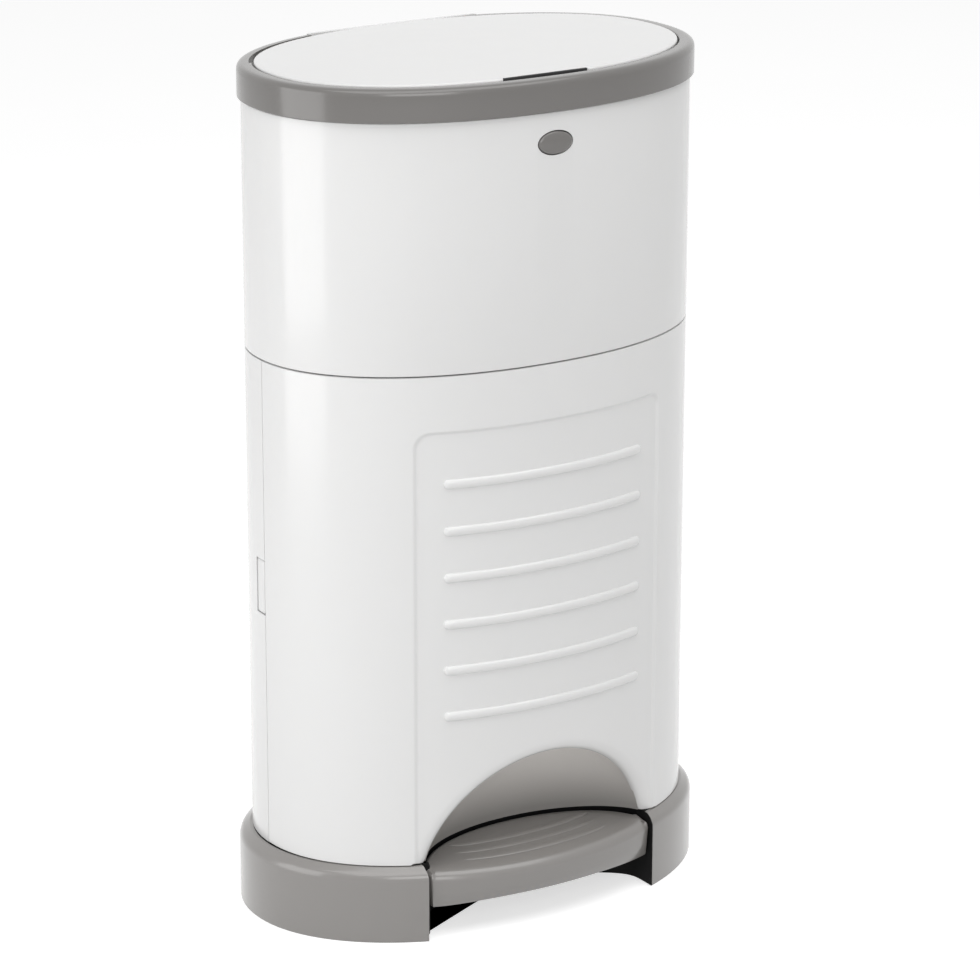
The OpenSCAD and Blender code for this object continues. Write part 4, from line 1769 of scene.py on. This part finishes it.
@dataclass
class Pedal:
    """Foot pedal with its rounded tread and grip ridges.

    Args:
        half: half width.
        front: half sizes of the oval that the front edge follows.
        level: distance from the front edge at which the tread is level.
        low: height of its lower edge.
        front_top: height of the tread at the front.
        rise: how much higher the tread is at the back.
        front_r: radius of the front upper edge.
        side_r: radius of the upper edges at the sides.
        back_r: radius of the upper edge at the back.
        flat: 1 for round upper edges, more for a slope with soft ends.
        wall: thickness of the moulding.
        arch: how much higher the lower edge is in the middle of the front.
        pitch: distance from one grip ridge to the next.
        reach: distance from front to back over which the tread rises.
    """

    half: float = 77.2
    front: Pair = (146.0, 97.0)
    level: float = 56.0
    low: float = 20.0
    front_top: float = 39.5
    rise: float = 5.2
    front_r: float = 5.5
    side_r: float = 3.0
    back_r: float = 3.0
    flat: float = 1.05
    wall: float = 2.6
    arch: float = 1.3
    pitch: float = 9.5
    reach: float = 50.7

    def front_y(self, x: float) -> float:
        """Return the place of the front edge at x."""
        return -Oval(*self.front, BASE.n).depth_at(x)

    def back_y(self, x: float) -> float:
        """Return the place of the back edge at x."""
        share = max(0.0, 1 - (x / (SCOOP_R - 2.5)) ** 2)
        return SCOOP_Y + (SCOOP_DEPTH - 1.5) * math.sqrt(share)

    def plan(self) -> list[Triple]:
        """Return the outline, anticlockwise, with the upper edge's radius at each point.

        Returns:
            Place and radius of each point.
        """
        h, r = self.half, 2.5
        front = [(x, self.front_y(x), self.front_r) for x in spread(-h + 1.2, h - 1.2, 90)]
        back = [(x, self.back_y(x), self.back_r) for x in spread(h - r, -h + r, 70)]
        corners = []
        for s in (1, -1):
            y0, y1 = self.front_y(h - 1.2) + 0.5, self.back_y(h - r) - 2.4
            side = [(s * (h - 0.35), y0, 4.4), (s * h, y0 + 1.1, self.side_r),
                    (s * h, y1, self.side_r), (s * (h - 0.4), y1 + 1.2, self.side_r * 0.8),
                    (s * (h - 1.3), y1 + 2.0, 2.2)]
            corners.append(side if s > 0 else side[::-1])
        return front + corners[0] + back + corners[1]

    def top(self, y: float) -> float:
        """Return the height of the tread at y, which levels out towards the back."""
        share = min(1.0, (y + self.front[1]) / self.level)
        return self.front_top + self.rise * (1 - (1 - share) ** 2)

    def bottom(self, y: float) -> float:
        """Return the height of the lower edge at y, slightly arched in front."""
        return self.low + self.arch * ease((self.front_y(self.half) - y) / 12)

    def shell(self) -> bpy.types.Object:
        """Build the hollow moulding.

        Returns:
            The moulding.
        """
        plan = self.plan()
        normals = outward([(x, y) for x, y, _ in plan])
        loops = []

        def ring(inset: Callable[[float], float], z: Callable[[float, float], float]) -> None:
            """Add a ring inset and raised as the two functions say.

            Args:
                inset: gives the inset for an edge radius.
                z: gives the height at a place and an edge radius.
            """
            moved = [(x - nx * inset(r), y - ny * inset(r), r)
                     for (x, y, r), (nx, ny) in zip(plan, normals)]
            loops.append([(x, y, z(y, r)) for x, y, r in moved])

        ring(lambda r: self.wall + 6, lambda y, r: self.top(y) - self.wall - 0.8)
        ring(lambda r: self.wall + 2, lambda y, r: self.top(y) - self.wall - 3.5)
        ring(lambda r: self.wall + 0.5, lambda y, r: self.low + 8)
        ring(lambda r: self.wall + 1.0, lambda y, r: self.bottom(y))
        ring(lambda r: 1.7, lambda y, r: self.bottom(y))
        ring(lambda r: 1.3, lambda y, r: self.bottom(y) + 0.4)
        ring(lambda r: 0.7, lambda y, r: self.low + 8)
        for k in range(13):
            c, s = (f(math.pi / 2 * k / 12) ** self.flat for f in (math.cos, math.sin))
            ring(lambda r: 0.05 + r * (1 - c), lambda y, r: self.top(y) - r * (1 - s))
        return rings("tread", loops, 50)

    def ridge(self) -> bpy.types.Object:
        """Build the front grip ridge, a low strip that follows the front edge.

        Returns:
            The ridge.
        """
        loops = []
        for x in spread(-50, 50, 60):
            y = self.front_y(x) + 15.5
            share = max(0.03, math.sqrt(max(0.0, 1 - (abs(x) / 50.2) ** 8)))
            loop = []
            for turn in (math.pi * k / 8 for k in range(9)):
                at = y - 2.3 * share * math.cos(turn)
                loop.append((x, at, self.top(at) - 0.05 + 0.7 * share * math.sin(turn)))
            loop.append((x, y, self.top(y) - 0.5))
            loops.append(loop)
        return rings("ridge", loops, 60)

    def build(self) -> None:
        """Make every piece of the pedal and dress it."""
        tread = dress(self.shell(), GREY, Slot.GREY_SHELL, Body.PEDAL)
        tread.name = "pedal_tread"
        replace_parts(tread, "pedal")
        step = (0.0, self.pitch, self.rise * self.pitch / self.reach)
        grip = row("pedal_ridges", GREY, self.ridge(), count=3, step=step)
        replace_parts(dress(grip, GREY, Slot.GREY_PART, Body.PEDAL), "pedal_grip")


# ---------------------------------------------------------------- lock and latch


@dataclass
class Lock:
    """Push button that frees the lid, with its spring.

    Args:
        z: height of the button's middle.
        size: width and height of the button.
        front: place of the button's face at its edge.
        crown: rise of the face in the middle.
    """

    z: float = 474.7
    size: Pair = (22.5, 13.2)
    front: float = -93.9
    crown: float = 1.0

    def button(self) -> bpy.types.Object:
        """Build the domed button.

        Returns:
            The button.
        """
        section = [(0.9, -87.2), (1.0, -87.6), (1.0, self.front + 0.8),
                   (0.985, self.front + 0.3), (0.95, self.front)]
        for share in (0.88, 0.78, 0.65, 0.5, 0.35, 0.2, 0.06):
            section.append((share, self.front - self.crown * (1 - share ** 2) ** 0.8))
        wide, tall = (length / 2 for length in self.size)
        loops = [[(x, y, self.z + up) for x, up in ellipse((wide * share, tall * share), 72)]
                 for share, y in section]
        return rings("button_face", loops, 50)

    def build(self) -> None:
        """Make the button and its spring and dress them."""
        stem = rod("stem", (0, -88, self.z), (0, -79, self.z), 3.0)
        button = join("lock_push", [self.button(), stem])
        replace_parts(dress(button, GREY_RIM, Slot.GREY_SHELL, Body.LOCK), "lock_button")
        spring = coil("lock_coil", (0, -83.2, self.z), "Y", length=0.9, radius=4.4,
                      wire=0.28, turns=2.0)
        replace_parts(dress(spring, STEEL, Slot.STEEL, Body.CASING), "lock_spring")


@dataclass
class Latch:
    """Tab at the left seam that frees the door, with its spring.

    Args:
        low: lowest point of the tab.
        high: its highest point.
        y: back and front of the tab.
        sink: how far its face lies below the body.
    """

    low: float = 190.1
    high: float = 222.9
    y: Pair = (10.4, 1.2)
    sink: float = 0.3

    def tab(self) -> bpy.types.Object:
        """Build the tab's face, curved with the body and rounded at its edges.

        Returns:
            The face.
        """
        loops = []
        face, corner = -self.sink, 1.8
        for inset, off in ((0.6, -4.0), (0.0, -3.6), (0.0, face - 0.6), (0.15, face - 0.2),
                           (0.6, face), (1.6, face + 0.12)):
            back, front = self.y[0] - inset, self.y[1] + inset
            low, high = self.low + inset, self.high - inset
            plan = rounded([(back, low, corner), (front, low, corner), (front, high, corner),
                            (back, high, corner)])
            loops.append([(-BODY.width_at(y) - off, y, z) for y, z in plan])
        return rings("tab", loops, 50)

    def build(self) -> None:
        """Make the tab and its spring and dress them."""
        arm = block("arm", (-134.5, -11, 198), (-132.5, 8, 214))
        boss = rod("boss", (-137.5, 6, 206), (-131, 6, 206), 3.2)
        tab = join("door_tab", [self.tab(), arm, boss])
        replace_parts(dress(tab, WHITE, Slot.WHITE_SHELL, Body.LATCH), "door_latch")
        spring = coil("latch_coil", (-129.5, 6, 206), "X", length=1.2, radius=3.9,
                      wire=0.28, turns=2.0)
        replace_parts(dress(spring, STEEL, Slot.STEEL, Body.CASING), "latch_spring")


# ---------------------------------------------------------------- parts inside


@dataclass(frozen=True)
class Fitting:
    """A plain part that keeps its node's form with softened edges.

    Args:
        node: node of the frame.
        name: name of the piece.
        finish: its finish.
        slot: its material slot.
        body: body that it moves with.
        edge: width of the rounding at its edges in millimetres.
    """

    node: str
    name: str
    finish: Finish
    slot: Slot
    body: Body
    edge: float = 0.4

    def build(self) -> None:
        """Make the part from its node and dress it."""
        dress(softened(self.node, self.name, self.edge), self.finish, self.slot, self.body)


FITTINGS = (
    Fitting("base_plate", "floor_plate", DARK, Slot.DARK_PART, Body.CASING, 0.5),
    Fitting("rod_cover", "rod_channel", WHITE_INSIDE, Slot.WHITE_INNER, Body.CASING),
    Fitting("divider", "bag_divider", WHITE_INSIDE, Slot.WHITE_INNER, Body.CASING),
    Fitting("flap_housing", "trap_frame", DARK, Slot.DARK_PART, Body.CASING),
    Fitting("film_cassette", "cassette_body", GREY_DULL, Slot.GREY_PART, Body.CASING),
    Fitting("hinge_bracket", "hinge_carrier", GREY_DULL, Slot.GREY_PART, Body.CASING),
    Fitting("lock_guide", "lock_seat", DARK, Slot.DARK_PART, Body.CASING),
    Fitting("latch_guide", "latch_seat", DARK, Slot.DARK_PART, Body.CASING),
    Fitting("lid_liner", "lid_plug", WHITE_INSIDE, Slot.WHITE_INNER, Body.LID, 0.8),
    Fitting("lid_crank", "lid_horn", GREY_DULL, Slot.GREY_PART, Body.LID),
    Fitting("lid_catch", "lid_tooth", GREY_DULL, Slot.GREY_PART, Body.LID, 0.2),
    Fitting("flap_front", "trap_leaf_front", GREY_DULL, Slot.GREY_PART, Body.FRONT_FLAP),
    Fitting("flap_rear", "trap_leaf_rear", GREY_DULL, Slot.GREY_PART, Body.REAR_FLAP),
    Fitting("flap_front_shaft", "trap_shaft_front", DARK, Slot.DARK_PART, Body.FRONT_FLAP, 0.3),
    Fitting("flap_rear_shaft", "trap_shaft_rear", DARK, Slot.DARK_PART, Body.REAR_FLAP, 0.3),
    Fitting("lift_yoke", "trap_yoke", DARK, Slot.DARK_PART, Body.LIFTER),
    Fitting("push_rod", "lift_strip", DARK, Slot.DARK_PART, Body.LIFTER),
    Fitting("lid_link", "lid_lifter", DARK, Slot.DARK_PART, Body.LIFTER, 0.3),
    Fitting("pedal_lever", "treadle_arm", DARK, Slot.DARK_PART, Body.PEDAL, 0.5),
    Fitting("door_catch", "door_hook", GREY_DULL, Slot.GREY_PART, Body.DOOR, 0.3),
    Fitting("cutter_holder", "knife_guard", GREY_DULL, Slot.GREY_PART, Body.DOOR),
    Fitting("cutter_blade", "knife", STEEL, Slot.STEEL, Body.DOOR, 0.1),
    Fitting("lock_hook", "lock_claw", GREY_DULL, Slot.GREY_PART, Body.LOCK, 0.2),
)

SEALS = (
    Fitting("flap_front_seal", "trap_lip_front", RUBBER, Slot.SOFT_RUBBER, Body.FRONT_FLAP, 0.5),
    Fitting("flap_rear_seal", "trap_lip_rear", RUBBER, Slot.SOFT_RUBBER, Body.REAR_FLAP, 0.5),
    Fitting("lid_seal", "lid_gasket", RUBBER, Slot.SOFT_RUBBER, Body.LID, 0.5),
)


@dataclass
class Inside:
    """Parts inside and below: fittings, film, seals, pins, springs, screws and feet.

    Args:
        folds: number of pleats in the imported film.
        foot_r: radius of a rubber foot.
        screw_r: radius of a screw's head.
        spring_x: distance of the pedal's two springs from the middle.
        feet: places of the feet on the right, which have twins on the left.
        screws: places of the screws on the right, which have twins on the left.
    """

    folds: int = 8
    foot_r: float = 9.0
    screw_r: float = 4.0
    spring_x: float = 48.0
    feet: tuple[Pair, ...] = ((122, -22), (122, 22), (60, 72))
    screws: tuple[Pair, ...] = ((100, -30), (100, 45))

    def pleat(self) -> bpy.types.Object:
        """Build the lowest pleat of the bag film, a flat loop with round folds.

        Returns:
            The pleat.
        """
        low = height("film_pack")[0]
        inner, outer = Oval(94.2, 66.2, 4.0), Oval(115.4, 73.4, 2.6)
        path, widths = [], []
        for angle in (TAU * k / 160 for k in range(160)):
            p, q = superpoint(inner, angle), superpoint(outer, angle)
            width = math.dist(p, q)
            wander = 0.35 * math.sin(9 * angle) + 0.25 * math.sin(23 * angle + 1)
            path.append(Station(p, ((q[0] - p[0]) / width, (q[1] - p[1]) / width)))
            widths.append(width - 0.5 + wander * 0.5)

        def section(i: int) -> Profile:
            """Return the fold's section, as wide as its room at a place.

            Args:
                i: number of the place on the path.

            Returns:
                The section there.
            """
            start, end, base, top, fold = 0.4, widths[i], low + 0.1, low + 1.9, 0.8
            return rounded([(start, base, fold), (end, base, fold), (end, top, fold),
                            (start, top, fold)], 4)

        return sweep("pleat", path, section, closed=True, sharp=60)

    def film(self) -> bpy.types.Object:
        """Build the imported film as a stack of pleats.

        Returns:
            The stack.
        """
        low, high = height("film_pack")
        step = (high - low - 0.2) / self.folds
        return row("film_stack", FILM, self.pleat(), self.folds, (0, 0, step))

    def foot(self) -> bpy.types.Object:
        """Build one rubber foot with a moulded ring, round the origin.

        Returns:
            The foot.
        """
        section = [(0.05, 0.35), (0.5, 0.35), (0.56, 0.0), (0.93, 0.0), (1.0, 0.3), (1.0, 1.0),
                   (0.05, 1.0)]
        return turned("foot", self.foot_r, section, 40, 50)

    def screw(self) -> bpy.types.Object:
        """Build one pan-head screw with a cross recess, round the origin.

        Returns:
            The screw.
        """
        section = [(0.05, 0.5), (0.7, 0.52), (0.92, 0.66), (1.0, 0.9), (1.0, 1.0), (0.5, 1.0),
                   (0.5, 3.0), (0.05, 3.0)]
        head = turned("screw", self.screw_r, section, 32, SOFT)
        for x, y in ((2.2, 0.4), (0.4, 2.2)):
            cut(head, block("slot", (-x, -y, 0.2), (x, y, 0.85)), SOFT)
        return head

    def springs(self) -> bpy.types.Object:
        """Build the two torsion springs round the pedal's pin.

        Returns:
            Both springs as one piece.
        """
        low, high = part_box("pedal_spring")
        _, y, z = pivot("pedal_press")
        wire, half = 0.45, 3.6
        r = (high.z - low.z) / 2 / MM - 0.5
        made = []
        for side in (-1, 1):
            middle = side * self.spring_x
            made.append(coil(f"coil{side}", (middle - half, y, z), "X", length=2 * half,
                             radius=r, wire=wire, turns=6))
            x = middle + side * half
            made.append(rod("leg", (x, y - r, z), (x, y - r + 0.4, z + 9.0), wire, sides=12,
                            edge=0.1))
        return join("pedal_coils", made)

    def build(self) -> None:
        """Make every piece and dress it."""
        for part in FITTINGS:
            part.build()
        feet, screws = ([(side * x, y, 0) for x, y in places for side in (-1, 1)]
                        for places in (self.feet, self.screws))
        for piece, finish, slot, node in (
                (self.film(), FILM, Slot.FILM, "film_pack"),
                (scatter("feet_rubber", RUBBER, self.foot(), feet), RUBBER, Slot.SOFT_RUBBER,
                 "rubber_feet"),
                (scatter("plate_screws", STEEL, self.screw(), screws), STEEL, Slot.STEEL,
                 "base_screws")):
            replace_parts(dress(piece, finish, slot, Body.CASING), node)
        for part in SEALS:
            part.build()
        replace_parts(dress(self.springs(), STEEL, Slot.STEEL, Body.CASING), "pedal_spring")
        for node in ("lid_hinge_pin", "pedal_pin", "door_hinge_pins"):
            for slot in frame["nodes"][node].material_slots:
                slot.material = STEEL.build()


# ---------------------------------------------------------------- studio


@dataclass
class Studio:
    """Camera, soft lamps, pale floor and white surroundings.

    Args:
        place: the camera's place in metres.
        look: direction in which it looks.
        lens: focal length in millimetres on a 36 mm sensor.
        shift: lens shift, as shares of the frame's width.
        ambient: strength of the even light from all round.
        lift: light that the floor adds to what is seen of it.
    """

    place: Triple = (-1.2393, -1.9911, 0.9928)
    look: Triple = (0.5035, 0.8090, -0.3032)
    lens: float = 150.8
    shift: Pair = (0.02238, -0.0049)
    ambient: float = 0.38
    lift: float = 0.62

    def camera(self) -> None:
        """Set up the camera."""
        data = bpy.data.cameras.new("camera")
        data.sensor_width = 36.0
        data.lens = self.lens
        data.shift_x, data.shift_y = self.shift
        data.clip_end = 50.0
        bpy.context.scene.camera = self.aimed("camera", data, self.place, Vector(self.look))

    def aimed(self, name: str, data: bpy.types.ID, place: Triple,
              look: Vector) -> bpy.types.Object:
        """Put the camera or a lamp at a place so that it looks in a direction.

        Args:
            name: name of the object.
            data: the camera or lamp.
            place: its place in metres.
            look: direction in which it looks.

        Returns:
            The object.
        """
        made = placed(name, data)
        made.location = place
        made.rotation_euler = look.to_track_quat("-Z", "Y").to_euler()
        return made

    def lamp(self, name: str, place: Triple, aim: Triple, size: Pair, power: float) -> None:
        """Add a soft rectangular lamp.

        Args:
            name: name of the lamp.
            place: its place in metres.
            aim: point that it faces.
            size: its width and height in metres.
            power: its power in watts.
        """
        data = bpy.data.lights.new(name, "AREA")
        data.shape = "RECTANGLE"
        data.size, data.size_y = size
        data.energy = power
        self.aimed(name, data, place, Vector(aim) - Vector(place))

    def floor(self) -> None:
        """Lay the pale floor, which shows white wherever no shadow falls on it."""
        half = 9000
        floor = piece_from("floor", [(-half, -half, 0), (half, -half, 0), (half, half, 0),
                                     (-half, half, 0)], [[0, 1, 2, 3]])
        tree = Tree("pale_floor")
        tone = tree.ramp(tree.noise(scale=3.0, detail=3.0), [(0.3, (0.7,) * 3), (0.7, (0.71,) * 3)])
        paint = tree.add("ShaderNodeBsdfDiffuse", {"Color": tone})
        glow = tree.add("ShaderNodeEmission", {"Strength": self.seen(tree, 0.0, self.lift)})
        both = tree.add("ShaderNodeAddShader", {
            0: paint.outputs["BSDF"], 1: glow.outputs["Emission"]})
        tree.link(both.outputs["Shader"], tree.output.inputs["Surface"])
        floor.data.materials.append(tree.material)

    def seen(self, tree: Nodes, low: float, high: float) -> bpy.types.NodeSocket:
        """Return a value that tells what is looked at from light that falls on things.

        Args:
            tree: tree to build in.
            low: value for light that falls on things.
            high: value where the camera, a reflection or a clear part looks.

        Returns:
            The value's socket.
        """
        ray = tree.add("ShaderNodeLightPath")
        value = ray.outputs["Is Camera Ray"]
        for kind in ("Is Glossy Ray", "Is Transmission Ray"):
            either = tree.add("ShaderNodeMath", {0: value, 1: ray.outputs[kind]},
                              operation="MAXIMUM")
            value = either.outputs["Value"]
        strength = tree.add("ShaderNodeMapRange", {"To Min": low, "To Max": high, "Value": value})
        return strength.outputs["Result"]

    def world(self) -> None:
        """Light the surroundings evenly and show them white."""
        world = bpy.data.worlds.new("surroundings")
        bpy.context.scene.world = world
        world.use_nodes = True
        tree = Nodes(world.node_tree)
        back = tree.tree.nodes["Background"]
        tree.link(self.seen(tree, self.ambient, 1.0), back.inputs["Strength"])
        back.inputs["Color"].default_value = (1.0, 1.0, 1.0, 1.0)

    def build(self) -> None:
        """Set up the whole studio."""
        self.camera()
        self.floor()
        self.world()
        for name, place, aim_z, size, power in (
                ("key", (-1.04, 0.06, 0.36), 0.3, (0.75, 0.95), 4.4),
                ("fill", (-0.9, -2.9, 1.5), 0.2, (1.8, 1.5), 24),
                ("top", (-0.1, -0.85, 2.5), 0.3, (3.2, 1.8), 34)):
            self.lamp(name, place, (0, 0, aim_z), size, power)
        bpy.context.scene.view_settings.view_transform = "Standard"


def main() -> None:
    """Build the bin and its studio."""
    logging.basicConfig(level=logging.INFO, format="%(message)s")
    for name in ("Cube", "Light", "Camera"):
        if name in bpy.data.objects:
            bpy.data.objects.remove(bpy.data.objects[name])
    Studio().build()
    for part in (Foot(), Casing(), Door(), Lid(), Pedal(), Lock(), Latch(), Inside()):
        part.build()
        LOG.info("%s built", type(part).__name__)


if __name__ == "__main__":
    main()
